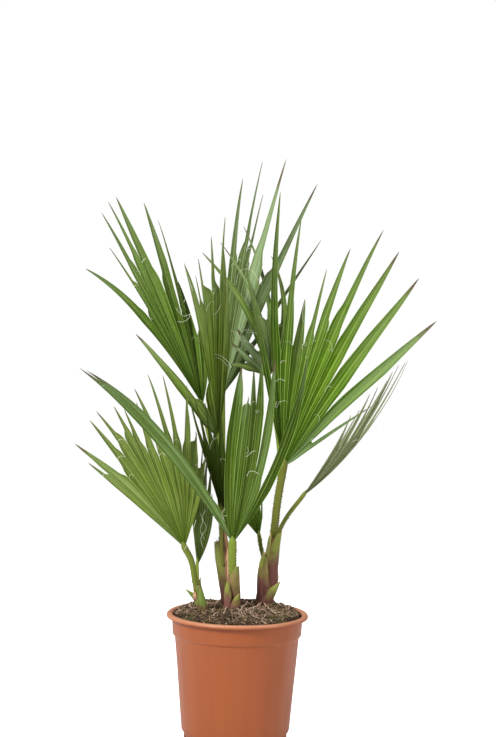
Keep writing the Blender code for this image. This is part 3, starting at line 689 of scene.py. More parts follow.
def hairs(shape, spots, count, seed, reach=9.0):
    """Loose brown fibres that stand off a torn leaf base."""
    pick = random.Random(seed)
    for i in range(count):
        a, b = pick.choice(spots)
        spot = Vector(a).lerp(Vector(b), pick.random())
        heading = Vector((pick.uniform(-1, 1), pick.uniform(-1, 0.6), pick.uniform(-0.2, 1)))
        heading = (heading + Vector((0, 0, 1))).normalized()
        curl = Vector((pick.uniform(-1, 1), pick.uniform(-1, 1), pick.uniform(-1, 1))) * 0.35
        step = reach * pick.uniform(0.4, 1.0) / 5
        route = []
        for k in range(6):
            route.append(spot.copy())
            spot = spot + heading * step
            heading = (heading + curl).normalized()
        shape.tube(route, HAIR_WIDTHS, 3, HAIR, i, pick.random())


purple_foot = (0.16, 0.062, 0.048)
green_base = (0.16, 0.235, 0.045)
old_bark = stalk_finish("old_leaf_base", (0.17, 0.072, 0.052), (0.3, 0.165, 0.08),
                        (0.15, 0.08, 0.035), (0.36, 0.21, 0.1), 0.35, 0.9, 0.0, bump=0.0012)
green_sheath = stalk_finish("green_leaf_base", purple_foot, green_base, (0.33, 0.24, 0.09),
                            (0.3, 0.2, 0.07), 0.38, 0.93, 0.7)
young_sheath = stalk_finish("young_leaf_base", purple_foot, (0.23, 0.26, 0.05), (0.34, 0.29, 0.11),
                            (0.28, 0.15, 0.06), 0.5, 0.93, 0.8)
cut_sheath = stalk_finish("cut_leaf_base", (0.26, 0.11, 0.09), (0.28, 0.32, 0.06), (0.4, 0.31, 0.12),
                          (0.34, 0.21, 0.09), 0.6, 0.93, 0.6)
fading_sheath = stalk_finish("fading_leaf_base", (0.2, 0.085, 0.065), (0.27, 0.21, 0.075),
                             (0.2, 0.25, 0.05), (0.42, 0.23, 0.11), 0.4, 0.86, 0.9)
tan_sheath = stalk_finish("tan_leaf_base", (0.22, 0.1, 0.08), (0.56, 0.34, 0.19),
                          (0.46, 0.25, 0.11), (0.3, 0.13, 0.05), 0.3, 0.9, 0.8)
brown_hair = Finish("brown_leaf_fibre", Roughness=0.75)
colour = flecked(brown_hair, (0.1, 0.05, 0.025), (0.25, 0.15, 0.08), (0.45, 0.33, 0.22))
brown_hair.link(Base_Color=colour)
stem_finishes = [old_bark, green_sheath, tan_sheath, brown_hair, young_sheath, cut_sheath, fading_sheath]


def make_stem(piece, node, heart, rings, front_bases, other_bases, tufts):
    """A whole stem: its heart, the leaf bases in front, those at its sides and back, whose widths
    follow from their height, and tufts of loose fibres, in place of its CAD node."""
    shape = Shape()
    stem_core(shape, rings, heart)
    for base in front_bases:
        sheath(shape, *base)
    for k, (route, outward, slot) in enumerate(other_bases):
        size = (route[-1][2] - route[0][2]) / 110
        low = min(1.0, size + 0.1)
        widths = [7.0 * low, 8.2 * low, 7.4 * size, 5.2 * size, 0.5]
        sheath(shape, route, widths, SIDE_WRAP, outward, slot, SIDE_SEED + 2 * k)
    for tuft in tufts:
        hairs(shape, *tuft)
    shape.piece(piece, stem_finishes, [node], "sheath", crease=50.0)


# Each stem has its heart's rings (place, half width, half depth), the leaf bases in front (route,
# half widths, wrap in degrees, outward direction, finish, seed), those at its sides and back,
# which are invented, and its tufts. The rings' places were converted from the photograph.
make_stem(
    "stem_left_bases", "stem_left", GREEN, [
        (-46, -20, 158, 6.4, 7.0), (-46, -20, 172, 6.8, 7.6), (-50, -20, 190, 6.4, 9.4),
        (-54, -20, 208, 5.2, 8.0),
    ], [
        ([(-49, -27, 166), (-51, -29, 180), (-57, -29, 192), (-69, -29, 203)], [5.5, 5.4, 4.0, 0.5], 70,
         (-0.5, -1, 0.3), GREEN, 3.0),
        ([(-43, -28, 163), (-44, -30, 177), (-47, -31, 192), (-50, -30, 205)], [4.8, 5.4, 4.6, 0.6], 75,
         (0.2, -1, 0.1), GREEN, 5.0),
        ([(-55, -29, 188), (-57, -30, 194), (-57, -30, 200)], [3.2, 3.0, 1.2], 60, (-0.2, -1, 0.2), TAN,
         6.0),
    ], [
        ([(-52, -19, 163), (-54, -19, 178), (-57, -19, 192), (-59, -18, 204), (-59, -18, 215)],
         (-1, 0.1, 0.1), YOUNG),
        ([(-40, -18, 163), (-41, -17, 178), (-45, -17, 194), (-49, -17, 207), (-50, -17, 218)],
         (1, 0.2, 0.1), GREEN),
        ([(-46, -13, 163), (-48, -12, 178), (-52, -12, 194), (-55, -12, 207), (-55, -11, 220)],
         (0, 1, 0.1), YOUNG),
    ], [
        ([((-58, -28, 196), (-54, -30, 203)), ((-52, -24, 170), (-42, -27, 170))], 16, 5),
    ],
)

make_stem(
    "stem_middle_bases", "stem_middle", OLD, [
        (-8, 18, 158, 12.0, 12.0), (-8, 18, 171, 12.6, 12.6), (-11, 17, 198, 12.0, 15.0),
        (-15, 14, 231, 8.6, 17.5), (-20, 14, 254, 5.8, 18.0),
    ], [
        ([(-15, 6, 163), (-17, 4, 185), (-22, 2, 215), (-27, 0, 240), (-31, 1, 263)],
         [6.5, 8.4, 8.2, 6.6, 3.0], 72, (-0.45, -1, 0.1), YOUNG, 13.0),
        ([(-1, 2, 164), (-2, -5, 190), (-3, -12, 212), (-1, -18, 233)], [7.5, 7.6, 6.8, 2.6], 76,
         (0.25, -1, 0.1), FADING, 15.0),
        ([(-13, -6, 164), (-13, -9, 182), (-14, -12, 198), (-14, -14, 213)], [4.8, 5.4, 4.4, 0.5], 70,
         (-0.1, -1, 0.1), CUT, 17.0),
        ([(-4, -8, 162), (-3, -10, 174), (-1, -12, 186), (2, -13, 196)], [6.2, 6.0, 4.4, 0.5], 72,
         (0.2, -1, 0.1), CUT, 19.0),
        ([(-15, 4, 222), (-17, 3, 240), (-19, 2, 258), (-22, 1, 283), (-25, 1, 306)],
         [5.0, 5.0, 4.4, 3.6, 0.8], 60, (-0.3, -1, 0), OLD, 21.0),
        ([(-10, 0, 200), (-12, -2, 220), (-14, -4, 240), (-15, -5, 256)], [3.6, 3.6, 2.6, 0.6], 60,
         (-0.1, -1, 0), TAN, 23.0),
    ], [
        ([(3, 11, 163), (1, 10, 195), (-5, 8, 228), (-13, 7, 256), (-17, 6, 272)], (1, -0.2, 0.1), YOUNG),
        ([(3, 25, 163), (1, 26, 195), (-5, 28, 228), (-13, 29, 250), (-17, 29, 262)], (1, 0.3, 0.1),
         GREEN),
        ([(-20, 11, 163), (-23, 10, 195), (-24, 8, 228), (-26, 7, 252), (-27, 6, 268)], (-1, -0.2, 0.1),
         YOUNG),
        ([(-20, 25, 163), (-23, 26, 195), (-24, 28, 228), (-26, 29, 248), (-27, 29, 262)], (-1, 0.3, 0.1),
         FADING),
        ([(-8, 31, 163), (-11, 33, 195), (-15, 32, 230), (-19, 32, 256), (-20, 32, 276)], (0, 1, 0.1),
         YOUNG),
    ], [
        ([((-29, 0, 262), (-21, -1, 250)), ((-26, 1, 270), (-27, 2, 306))], 40, 6),
        ([((-18, -4, 172), (6, -8, 172)), ((-16, 0, 215), (-10, -4, 245))], 26, 7, 7.0),
    ],
)

make_stem(
    "stem_right_bases", "stem_right", OLD, [
        (35, 47, 158, 11.5, 12.0), (35, 47, 171, 12.4, 13.0), (39, 47, 203, 10.6, 14.5),
        (44, 47, 238, 8.4, 17.0), (48, 47, 264, 7.6, 17.6),
    ], [
        ([(28, 32, 163), (36, 30, 176), (46, 28, 190), (57, 28, 206)], [9.0, 8.6, 6.6, 0.6], 74,
         (0.3, -1, 0.25), CUT, 31.0),
        ([(30, 34, 172), (30, 32, 200), (31, 31, 222), (34, 30, 246)], [6.0, 7.4, 6.6, 1.2], 74,
         (-0.5, -1, 0), CUT, 33.0),
        ([(40, 30, 186), (39, 29, 204), (38, 28, 222), (37, 27, 240)], [4.0, 4.4, 3.2, 0.6], 66,
         (0.2, -1, 0), FADING, 35.0),
        ([(47, 40, 182), (51, 40, 196), (54, 41, 208), (54, 42, 216)], [4.4, 4.0, 2.6, 0.6], 66,
         (0.8, -1, 0), TAN, 37.0),
        ([(50, 32, 200), (50, 30, 228), (52, 29, 252), (57, 29, 276)], [6.4, 7.4, 6.6, 2.4], 76,
         (0.5, -1, 0), YOUNG, 39.0),
    ], [
        ([(47, 40, 163), (50, 39, 195), (52, 37, 228), (55, 36, 258), (57, 36, 276)], (1, -0.2, 0.1),
         YOUNG),
        ([(47, 54, 163), (50, 55, 195), (52, 57, 228), (55, 58, 254), (56, 58, 270)], (1, 0.3, 0.1),
         GREEN),
        ([(24, 40, 163), (28, 39, 195), (34, 37, 228), (40, 36, 256), (43, 36, 272)], (-1, -0.2, 0.1),
         CUT),
        ([(24, 54, 163), (28, 55, 195), (34, 57, 228), (40, 58, 252), (43, 58, 268)], (-1, 0.3, 0.1),
         FADING),
        ([(35, 60, 163), (38, 62, 195), (43, 64, 230), (48, 65, 262), (49, 65, 282)], (0, 1, 0.1), YOUNG),
    ], [
        ([((30, 28, 240), (38, 27, 242)), ((50, 38, 210), (55, 40, 216))], 18, 8, 6.0),
        ([((24, 28, 171), (48, 28, 172))], 16, 9, 7.0),
    ],
)


# Front frond, and the skin that every frond shares. A fan leaf is one sheet folded like a paper
# fan round the end of its stalk, split half-way down into pointed blades with dry thin tips.
BLADE_HALF_THICKNESS = 0.22
FAN_INNER_RADIUS = 3.0
FAN_STEPS = 44
CAD_STATIONS = (0.0, 0.12, 0.24, 0.36, 0.46, 0.55, 0.64, 0.72, 0.84, 1.0)
FAN_NOTCH = 4
NOTCH_RISE = 15.0
TAPER = 0.75
COLUMNS = (0.0, 0.07, 0.3, 0.62, 0.88, 1.0)
THREAD_STEPS = 20
STALK_SIDES = 16
THORN_LENGTH = 1.5
SKIN_RELIEF = 0.0005
FACE, BACK, STALK, THORN, THREAD = range(5)
THREAD_WIDTH = 0.22
STALK_END = ((2.5, 0.95), (5.0, 0.8), (8.0, 0.52), (11.0, 0.25), (14.0, 0.08))

# The colour of the painted sheen of reflected light, and the share along a blade where it starts towards
# the tips.
SHEEN_COLOUR = (0.27, 0.37, 0.2)
SHEEN_FROM = 0.78
LEAF_SHINE = (0.8, 1.0, 0.4, 1)
DRY_TIP = (0.13, 0.105, 0.055)
DRY_FROM = 0.95
TIP_SHARE = 0.7
VEIN = 0.4
# How strongly painted shade darkens the centre of a fan.
HEART_SHADE = 0.85

leaf = Skin("leaf_skin", ("Blade", "Deep", "Rib", "Tip"), ("Vein", "Heart shade", "Sheen share"))
side_share, along_share, tint = leaf.kept("share")
veins = leaf.drawn_out(1.5, 0.01, 0.0, 2.0)
streaks = leaf.drawn_out(0.5, 0.012, 11.0, 2.0)
blotches = leaf.drawn_out(0.16, 0.05, 23.0)
side = leaf.maths("ABSOLUTE", side_share)
mottle = leaf.minus(blotches, 0.5)
uneven = leaf.plus(leaf.plus(leaf.times(streaks, 0.9), blotches, 0.7), tint, 0.45)
colour = leaf.mix(leaf.held(uneven, 0.65, 1.4), leaf.given["Deep"], leaf.given["Blade"])
wavering = leaf.plus(along_share, mottle, 0.35)
colour = leaf.mix(leaf.times(leaf.held(wavering, 0.45, 0.95), TIP_SHARE), colour, leaf.given["Tip"])
# Painted shade: each fan darkened towards its deep colour near the stalk, where the pleats crowd together
# under the blades.
heart = leaf.held(leaf.plus(along_share, blotches, 0.15), 0.15, 0.5, 1.0, 0.0)
colour = leaf.mix(leaf.times(heart, leaf.given["Heart shade"]), colour, leaf.given["Deep"])
# Painted reflection: a pale silver-green sheen for light glancing off the glossy blades, on blades with a
# high tint and, by its share, on the face towards the tips.
silver_sheen = leaf.held(leaf.plus(tint, streaks, 0.8), 1.4, 2.6, 0.0, 0.9)
colour = leaf.mix(silver_sheen, colour, SHEEN_COLOUR)
tip_sheen = leaf.held(leaf.minus(wavering, SHEEN_FROM), 0.0, 0.2)
colour = leaf.mix(leaf.times(tip_sheen, leaf.given["Sheen share"]), colour, SHEEN_COLOUR)
# Painted shade: each pleat darkened towards its folded edges, most near the fan's centre, for the shadow
# inside the folds.
crease = leaf.times(leaf.held(side, 0.45, 0.88, 0.0, 0.9), leaf.held(along_share, 0.5, 0.95, 1.0, 0.3))
colour = leaf.mix(crease, colour, leaf.given["Deep"])
beyond_heart = leaf.held(along_share, 0.04, 0.3, 0.3, 1.0)
line = leaf.times(leaf.held(veins, 0.5, 0.66), leaf.given["Vein"])
colour = leaf.mix(leaf.times(line, beyond_heart), colour, leaf.given["Rib"])
rib = leaf.times(leaf.held(side, 0.16, 0.07), leaf.held(along_share, 0.1, 0.95, 0.95, 0.35))
second_rib = leaf.held(leaf.maths("ABSOLUTE", leaf.minus(side, 0.52)), 0.06, 0.02, 0.0, 0.45)
rib = leaf.times(leaf.maths("MAXIMUM", rib, second_rib), beyond_heart)
margin = leaf.times(leaf.held(leaf.plus(side, streaks, 0.12), 0.95, 1.01, 0.0, 0.8), beyond_heart)
colour = leaf.mix(leaf.maths("MAXIMUM", rib, margin), colour, leaf.given["Rib"])
worn_from = leaf.plus(leaf.plus(along_share, mottle, 0.16), leaf.minus(tint, 0.5), 0.07)
dry = leaf.held(leaf.minus(worn_from, DRY_FROM), 0.0, 0.05)
leaf.give(leaf.mix(dry, colour, DRY_TIP), leaf.plus(veins, rib, 1.2),
          leaf.held(leaf.plus(blotches, dry), 0.3, 1.3, 0.4, 0.7))


def leaf_faces(name, front, back, vein=VEIN, heart=HEART_SHADE, sheen_share=0.0):
    """The two faces of a leaf, each with its blade, deep, rib and tip colours. The face also takes its vein
    strength, its painted shade near the stalk and its painted sheen towards the tips.
    """
    return [
        leaf.finish(name + face, SKIN_RELIEF, values, Specular_IOR_Level=0.1, Specular_Tint=LEAF_SHINE)
        for face, values in (("_face", (*front, vein, heart, sheen_share)),
                             ("_back", (*back, VEIN, HEART_SHADE, 0.0)))
    ]


def blade_normals(hastula, tips):
    """The fan's facing at each blade, on the side that the photograph sees."""
    rays = [(tip - hastula).normalized() for tip in tips]
    raw = []
    for i in range(len(rays)):
        before = rays[max(i - 1, 0)]
        after = rays[min(i + 1, len(rays) - 1)]
        raw.append(after.cross(before).normalized())
    normals = []
    for i in range(len(raw)):
        near = raw[max(i - 1, 0)] + raw[i] * 2 + raw[min(i + 1, len(raw) - 1)]
        normals.append(near.normalized())
    sign = -1.0 if sum(normals, Vector()).y > 0 else 1.0
    return [normal * sign for normal in normals]


def fan(shape, frond, seed):
    """The blades: one pleated sheet round the hastula that parts into pointed strips. Returns the
    places and directions of the notches, where threads hang."""
    hastula = Vector(frond["route"][-1])
    tips = [Vector(tip) for tip in frond["tips"]]
    normals = blade_normals(hastula, tips)
    count = len(tips)
    pick = random.Random(seed)
    tints = [pick.random() for tip in tips]
    widths, tapers, notches, bends, own_tints = (
        frond.get(key, {}) for key in ("widths", "tapers", "notches", "bends", "tints"))
    bow = frond.get("bow", 0.0)
    for i, tint in own_tints.items():
        tints[i] = tint
    waves = [(pick.uniform(-1, 1), pick.uniform(0, 6.3), pick.uniform(-1, 1)) for tip in tips]
    jitters = [pick.uniform(-0.025, 0.03) for border in range(count + 1)]
    shares = [FAN_INNER_RADIUS / 200 + (1 - FAN_INNER_RADIUS / 200) * (k / FAN_STEPS) ** 1.05
              for k in range(FAN_STEPS + 1)]

    def axis(i, share):
        reach = (tips[i] - hastula).length
        share = max(share, FAN_INNER_RADIUS / reach)
        arch = 4 * share * (1 - share)
        bend_x, bend_z = bends.get(i, (0, 0))
        straight = hastula + (tips[i] - hastula) * share
        return straight + (normals[i] * reach * bow + Vector((bend_x, 0, bend_z))) * arch

    def gap_vector(i, side, share):
        other = i + side
        if other < 0 or other >= count:
            return -gap_vector(i, -side, share)
        return (axis(other, share) - axis(i, share)) / 2

    def square_gap(i, side, share):
        """The part of the gap vector that stands square to the blade."""
        along = axis(i, min(1.0, share + 0.03)) - axis(i, max(0.0, share - 0.03))
        between = gap_vector(i, side, share)
        return between - between.project(along)

    def notch_station(j):
        return notches.get(j, FAN_NOTCH + j % 2)

    def notch_share(j):
        return CAD_STATIONS[notch_station(j)] + 0.02 + jitters[j]

    full = []
    free_from = []
    for i in range(count):
        spans = [square_gap(i, side, CAD_STATIONS[FAN_NOTCH]).length for side in (-1, 1)]
        full.append(min(max(spans), widths.get(i, frond["width"])))
        inner = [notch_station(j) for j in (i, i + 1) if 0 < j < count]
        free_from.append(CAD_STATIONS[tapers.get(i, max(FAN_NOTCH, min(inner)))])

    def half(i, side, share):
        """The offset from a blade's middle to its edge, whether it is joined there, and its width."""
        aside = gap_vector(i, side, share)
        across = square_gap(i, side, share)
        border = i if side < 0 else i + 1
        outer = border in (0, count)
        apart = 0.0 if outer else share - notch_share(border)
        free = max(0.0, (share - free_from[i]) / (1 - free_from[i]))
        own = (full[i] - 0.25) * (1 - free) ** TAPER + 0.25
        width = across.length
        if outer:
            width = min(own, width * 0.95)
            aside = across.normalized() * width
        elif apart > 0:
            ease = min(1.0, apart / 0.09)
            width = width * (1 - ease) + min(own, width * 0.9) * ease
            aside = aside * (1 - ease) + across.normalized() * width * ease
            foot = (axis(border - 1, notch_share(border)) + axis(border, notch_share(border))) / 2
            onward = (tips[i] - hastula).normalized()
            behind = (foot - axis(i, share) - aside).dot(onward) + NOTCH_RISE * apart
            aside += onward * max(0.0, behind)
        fold = normals[i] * width * frond["fold"]
        return aside + fold, not outer and apart <= 0, width

    def sway(i, share):
        """A slight wave and a bent tip, past the point where the blades part."""
        loose = max(0.0, share - 0.6) / 0.4
        amount, phase, tip = waves[i]
        across = gap_vector(i, 1, 0.5).normalized()
        wave = across * (amount * 1.1 * math.sin(phase + loose * 4.0) * loose)
        return wave + (across * tip * 1.6 + normals[i] * waves[i][0] * 3.0) * loose ** 3

    points = {}

    def corner(i, k, column):
        """The front and back points of a blade's column, shared with its neighbour where joined."""
        side = 1 if column > 0 else -1
        last = abs(column) == len(COLUMNS) - 1
        share = shares[k]
        offset, joined, width = half(i, side, share)
        border = i if side < 0 else i + 1
        key = ("border", border, k) if last and joined else (i, k, column)
        if key not in points:
            a = COLUMNS[abs(column)]
            middle = axis(i, share) + sway(i, share)
            edge_place = middle + offset
            normal = normals[i]
            if last and joined:
                other = i + side
                across = half(other, -side, share)[0]
                edge_place = (edge_place + axis(other, share) + sway(other, share) + across) / 2
                normal = (normal + normals[other]).normalized()
            elif joined:
                other = i + side
                meet = axis(other, share) + sway(other, share) + half(other, -side, share)[0]
                edge_place = (edge_place + meet) / 2
            ease = a * a * (1.25 - 0.25 * a)
            place = middle + (edge_place - middle - normals[i] * width * frond["fold"]) * a
            place += normals[i] * width * frond["fold"] * (0.75 * a + 0.25 * ease)
            thick = BLADE_HALF_THICKNESS * (1.0 - 0.5 * share) + (0.16 if column == 0 else 0.0)
            points[key] = (shape.point(place + normal * thick), shape.point(place - normal * thick))
        return points[key]

    half_count = len(COLUMNS) - 1
    directed = {}
    for i in range(count):
        length = (tips[i] - hastula).length
        for k in range(FAN_STEPS):
            for column in range(-half_count, half_count):
                cells = ((i, k, column), (i, k, column + 1), (i, k + 1, column + 1), (i, k + 1, column))
                pairs = [corner(*cell) for cell in cells]
                grain = []
                share = []
                for cell in cells:
                    side = 1 if cell[2] > 0 else -1
                    across = side * COLUMNS[abs(cell[2])]
                    width = max(1.0, half(i, side, shares[cell[1]])[2])
                    grain.append((across * width, shares[cell[1]] * length, seed + i * 3.7))
                    share.append((across, shares[cell[1]], tints[i]))
                front = tuple(p[0] for p in pairs)
                back = tuple(p[1] for p in pairs)
                shape.face(front, FACE, grain, share)
                shape.face(back[::-1], BACK, grain[::-1], share[::-1])
                for n in range(4):
                    m = (n + 1) % 4
                    directed[front[n], front[m]] = (back[n], back[m], grain[n], grain[m],
                                                    share[n], share[m])
    for (a, b), (c, d, grain_a, grain_b, share_a, share_b) in directed.items():
        if (b, a) not in directed:
            shape.face((b, a, c, d), FACE, [grain_b, grain_a, grain_a, grain_b],
                       [share_b, share_a, share_a, share_b])
    found = []
    for j in range(1, count):
        share = notch_share(j)
        place = (axis(j - 1, share) + half(j - 1, 1, share)[0] + axis(j, share) + half(j, -1, share)[0]) / 2
        onward = ((tips[j - 1] + tips[j]) / 2 - hastula).normalized()
        found.append((place, onward, normals[j]))
    return found


def thread(shape, start, heading, facing, length, curl, seed):
    """A pale thread peeled off a blade's edge, curling as it dries."""
    pick = random.Random(seed)
    step = length / THREAD_STEPS
    direction = Vector(heading).normalized()
    turn_about = Vector(facing).normalized()
    rate = curl * pick.choice((-1, 1))
    drift = pick.uniform(-0.1, 0.1)
    spot = Vector(start)
    route = []
    for k in range(THREAD_STEPS + 1):
        route.append(spot.copy())
        spot = spot + direction * step
        grow = 0.15 + 1.7 * k / THREAD_STEPS
        direction = (Matrix.Rotation(rate * grow / THREAD_STEPS, 3, turn_about) @ direction).normalized()
        direction = (direction + turn_about * drift * 0.3).normalized()
    widths = [THREAD_WIDTH * (1.0 - 0.5 * k / THREAD_STEPS) for k in range(THREAD_STEPS + 1)]
    shape.tube(route, widths, 3, THREAD, seed, pick.random())


def stalk(shape, frond, seed, teeth):
    """The leaf stalk, flat on top, with a thorn now and then along its two edges."""
    route = smooth_route(frond["route"], 12)
    first, last = frond["radii"]
    widths = [first + (last - first) * i / (len(route) - 1) for i in range(len(route))]
    tips = [Vector(tip) for tip in frond["tips"]]
    middle = sum(tips, Vector()) / len(tips)
    onward = (middle - route[-1]).normalized()
    for reach, share in STALK_END:
        route.append(Vector(frond["route"][-1]) + onward * reach)
        widths.append(max(0.3, last * share))
    shape.tube(route, widths, STALK_SIDES, STALK, seed, 0.5, 0.88)
    pick = random.Random(seed)
    for i in range(4, len(route) - 8):
        along = (route[i + 1] - route[i]).normalized()
        across = (Vector((1, 0, 0)) - along * along.x).normalized()
        for side in (-1, 1):
            if pick.random() < teeth:
                root = route[i] + across * side * widths[i] * 0.92 + along * pick.uniform(0, 1.5)
                point = root + across * side * THORN_LENGTH + along * 1.3
                shape.tube([root, root.lerp(point, 0.5), point], [0.75, 0.42, 0.1], 4, THORN, i, 0.3)


thread_finish = Finish("leaf_thread", Roughness=0.6)
colour = flecked(thread_finish, (0.5, 0.55, 0.33), (0.66, 0.68, 0.5), (0.8, 0.78, 0.66))
thread_finish.link(Base_Color=colour)
thorn_finish = Finish("stalk_thorn", Roughness=0.5)
thorn_noise = thorn_finish.clouds(thorn_finish.place(), 700.0)
thorn_finish.link(Base_Color=thorn_finish.mix(thorn_noise, (0.09, 0.035, 0.015), (0.22, 0.11, 0.04)))
green_stalk = stalk_finish("green_stalk", (0.2, 0.22, 0.03), (0.19, 0.26, 0.03),
                           (0.15, 0.25, 0.02), (0.16, 0.08, 0.03), 0.3, 1.2, 0.35, bump=0.0004)
olive_stalk = stalk_finish("olive_stalk", (0.13, 0.14, 0.02), (0.15, 0.17, 0.022),
                           (0.15, 0.2, 0.015), (0.07, 0.04, 0.02), 0.3, 1.2, 0.9, bump=0.0004)
low_stalk = stalk_finish("low_stalk", (0.15, 0.16, 0.02), (0.13, 0.175, 0.02),
                         (0.11, 0.18, 0.015), (0.13, 0.07, 0.025), 0.3, 1.2, 0.35, bump=0.0004)


def make_frond(piece, node, slot, seed, stalk_look, faces, teeth=0.15, threads=1.0, curls=(), **frond):
    """A whole leaf: fan, stalk, thorns and threads, in place of its CAD node."""
    shape = Shape()
    pick = random.Random(seed)
    for place, onward, facing in fan(shape, frond, seed):
        for k in range(3):
            if pick.random() < threads * (0.45, 0.2, 0.1)[k]:
                aside = facing.cross(onward) * pick.uniform(-1, 1)
                heading = onward + aside * 0.7 + facing * pick.uniform(0.1, 0.5)
                thread(shape, place, heading, facing, pick.uniform(8, 24), pick.uniform(1.5, 6.5),
                       pick.random())
    stalk(shape, frond, seed, teeth)
    for k, (points, width) in enumerate(curls):
        route = smooth_route(points, 6)
        shape.tube(route, [width] * len(route), 4, THREAD, k, 0.7)
    shape.piece(piece, [*faces, stalk_look, thorn_finish, thread_finish], [node], slot, crease=24.0)


# In each frond, route is the stalk and tips are the blades' ends in order across the fan. Those
# points and the curls' were read off the photograph and converted to millimetres beforehand, at
# chosen depths, and some were changed since. Notches and tapers count CAD_STATIONS.
make_frond(
    "leaf_front", "frond_front", "leaf", 101, green_stalk,
    leaf_faces(
        "front_leaf", ((0.056, 0.11, 0.002), (0.018, 0.042, 0.0), (0.21, 0.31, 0.07), (0.05, 0.085, 0.02)),
        ((0.1, 0.17, 0.03), (0.06, 0.11, 0.01), (0.22, 0.3, 0.11), (0.13, 0.18, 0.07)),
        # Little painted shade at its centre, and painted sheen of reflected light towards its tips.
        heart=0.1, sheen_share=0.3),
    teeth=0.55,
    route=[(-7, 4, 186), (-6, -4, 210), (-8, -13, 240), (-8, -20, 264)],
    tips=[
        (-202, -125, 497), (-194, -118, 493), (1, -88, 502), (10, -86, 463), (15, -85, 502),
        (24, -82, 513), (40, -78, 513), (85, -60, 514),
    ],
    radii=(4.8, 5.4), width=8.5, fold=0.6, bow=0.02,
    notches={1: 8, 2: 1, 3: 8, 4: 8, 5: 7, 6: 3, 7: 2},
    widths={0: 5, 1: 5, 4: 6, 5: 6, 6: 6, 7: 7},
    tapers={0: 6, 1: 6, 2: 6, 4: 7, 5: 7, 6: 6, 7: 6},
    bends={0: (-3, 17), 1: (4, 24), 2: (-9, 0), 3: (-5, 0), 4: (2, 0), 5: (6, 0), 6: (11, 0), 7: (12, 0)},
    tints={0: 1.3, 1: 1.45, 2: 0.7, 3: 0.3, 4: 0.6, 5: 0.6, 6: 1.2, 7: 0.3},
    curls=(
        ([(-3, -62, 389), (-2, -63, 396), (3, -64, 399), (9, -63, 396), (10, -62, 389), (5, -62, 387)],
         0.24),
        ([(-3, -62, 389), (1, -62, 383), (9, -62, 384), (15, -63, 390), (20, -62, 391)], 0.22),
        ([(-12, -52, 357), (-10, -53, 362), (-6, -54, 364), (-3, -53, 360)], 0.24),
        ([(9, -54, 357), (12, -55, 363), (18, -56, 364), (25, -54, 360)], 0.24),
    ),
)


# Low left frond. A young fan on its own short stalk, olive green, lit from the left.
make_frond(
    "leaf_left_low", "frond_left_low", "olive_leaf", 102, low_stalk,
    leaf_faces(
        "left_low", ((0.13, 0.195, 0.02), (0.048, 0.086, 0.003), (0.25, 0.3, 0.09), (0.13, 0.175, 0.06)),
        ((0.12, 0.18, 0.04), (0.07, 0.11, 0.02), (0.22, 0.28, 0.11), (0.12, 0.15, 0.07))),
    route=[(-54, -24, 196), (-57, -26, 213), (-62, -31, 241), (-71, -35, 259)],
    tips=[
        (-198, -60, 371), (-215, -57, 395), (-197, -54, 426), (-187, -51, 438), (-167, -48, 445),
        (-153, -45, 441), (-138, -44, 449), (-141, -43, 467), (-124, -40, 487), (-104, -37, 486),
        (-72, -34, 474), (-59, -31, 411), (-46, -29, 381),
    ],
    radii=(3.6, 4.2), width=9, fold=0.55, bow=0.03,
    notches={1: 7, 2: 5, 3: 6, 4: 7, 5: 7, 6: 6, 7: 5, 8: 4, 9: 5, 10: 5, 11: 7, 12: 7},
    widths={0: 3.5},
    bends={1: (4, 4), 2: (2, 2), 3: (3, 3), 4: (2, 1), 7: (10, 2), 8: (9, 1), 9: (7, 1)},
    tints={0: 1.1, 1: 1.2},
    curls=(
        ([(-107, -60, 390), (-107, -61, 396), (-103, -62, 400), (-99, -62, 398), (-99, -60, 391)], 0.24),
        ([(-56, -58, 299), (-60, -57, 286), (-65, -55, 271), (-71, -52, 259)], 0.22),
    ),
)


# Folded frond. A narrow leaf still half closed behind the low left one, seen from its dark side.
make_frond(
    "leaf_left_folded", "frond_left_folded", "dark_leaf", 103, green_stalk,
    leaf_faces(
        "folded", ((0.14, 0.225, 0.024), (0.026, 0.05, 0.003), (0.34, 0.42, 0.15), (0.14, 0.18, 0.08)),
        ((0.08, 0.12, 0.03), (0.03, 0.05, 0.01), (0.2, 0.25, 0.12), (0.1, 0.13, 0.06))),
    threads=1.5,
    route=[(-52, -14, 195), (-54, -10, 215), (-55, -8, 231)],
    tips=[
        (-70, -20, 400), (-59, -20, 411), (-51, -19, 393), (-44, -18, 377), (-39, -17, 357),
        (-37, -16, 330),
    ],
    radii=(2.4, 2.4), width=6, fold=0.6,
    notches={1: 6, 2: 6, 3: 6, 4: 7, 5: 7},
    bends={4: (3, 0), 5: (6, 0)},
    curls=(
        ([(-53, -30, 306), (-48, -31, 296), (-51, -31, 282), (-45, -30, 269)], 0.13),
        ([(-44, -30, 309), (-49, -31, 298), (-43, -31, 285), (-50, -30, 272), (-47, -28, 258)], 0.13),
    ),
)


# Dark centre frond. It leans left behind the front one and shows its shaded side.
make_frond(
    "leaf_centre_dark", "frond_centre_dark", "dark_leaf", 104, olive_stalk,
    leaf_faces(
        "centre_dark", ((0.03, 0.058, 0.002), (0.009, 0.021, 0.0), (0.1, 0.14, 0.025), (0.06, 0.09, 0.025)),
        ((0.05, 0.08, 0.01), (0.02, 0.035, 0.004), (0.12, 0.15, 0.05), (0.09, 0.11, 0.05))),
    route=[(-20, -1, 232), (-23, -1, 258), (-24, 0, 286), (-24, 0, 303)],
    tips=[
        (-72, -15, 462), (-61, -12, 456), (-49, -9, 450), (-38, -6, 447), (-27, -3, 440), (-7, 0, 400),
        (8, 2, 384),
    ],
    radii=(2.8, 2.8), width=8, fold=0.5,
    notches={1: 5, 2: 5, 3: 6, 4: 5},
)


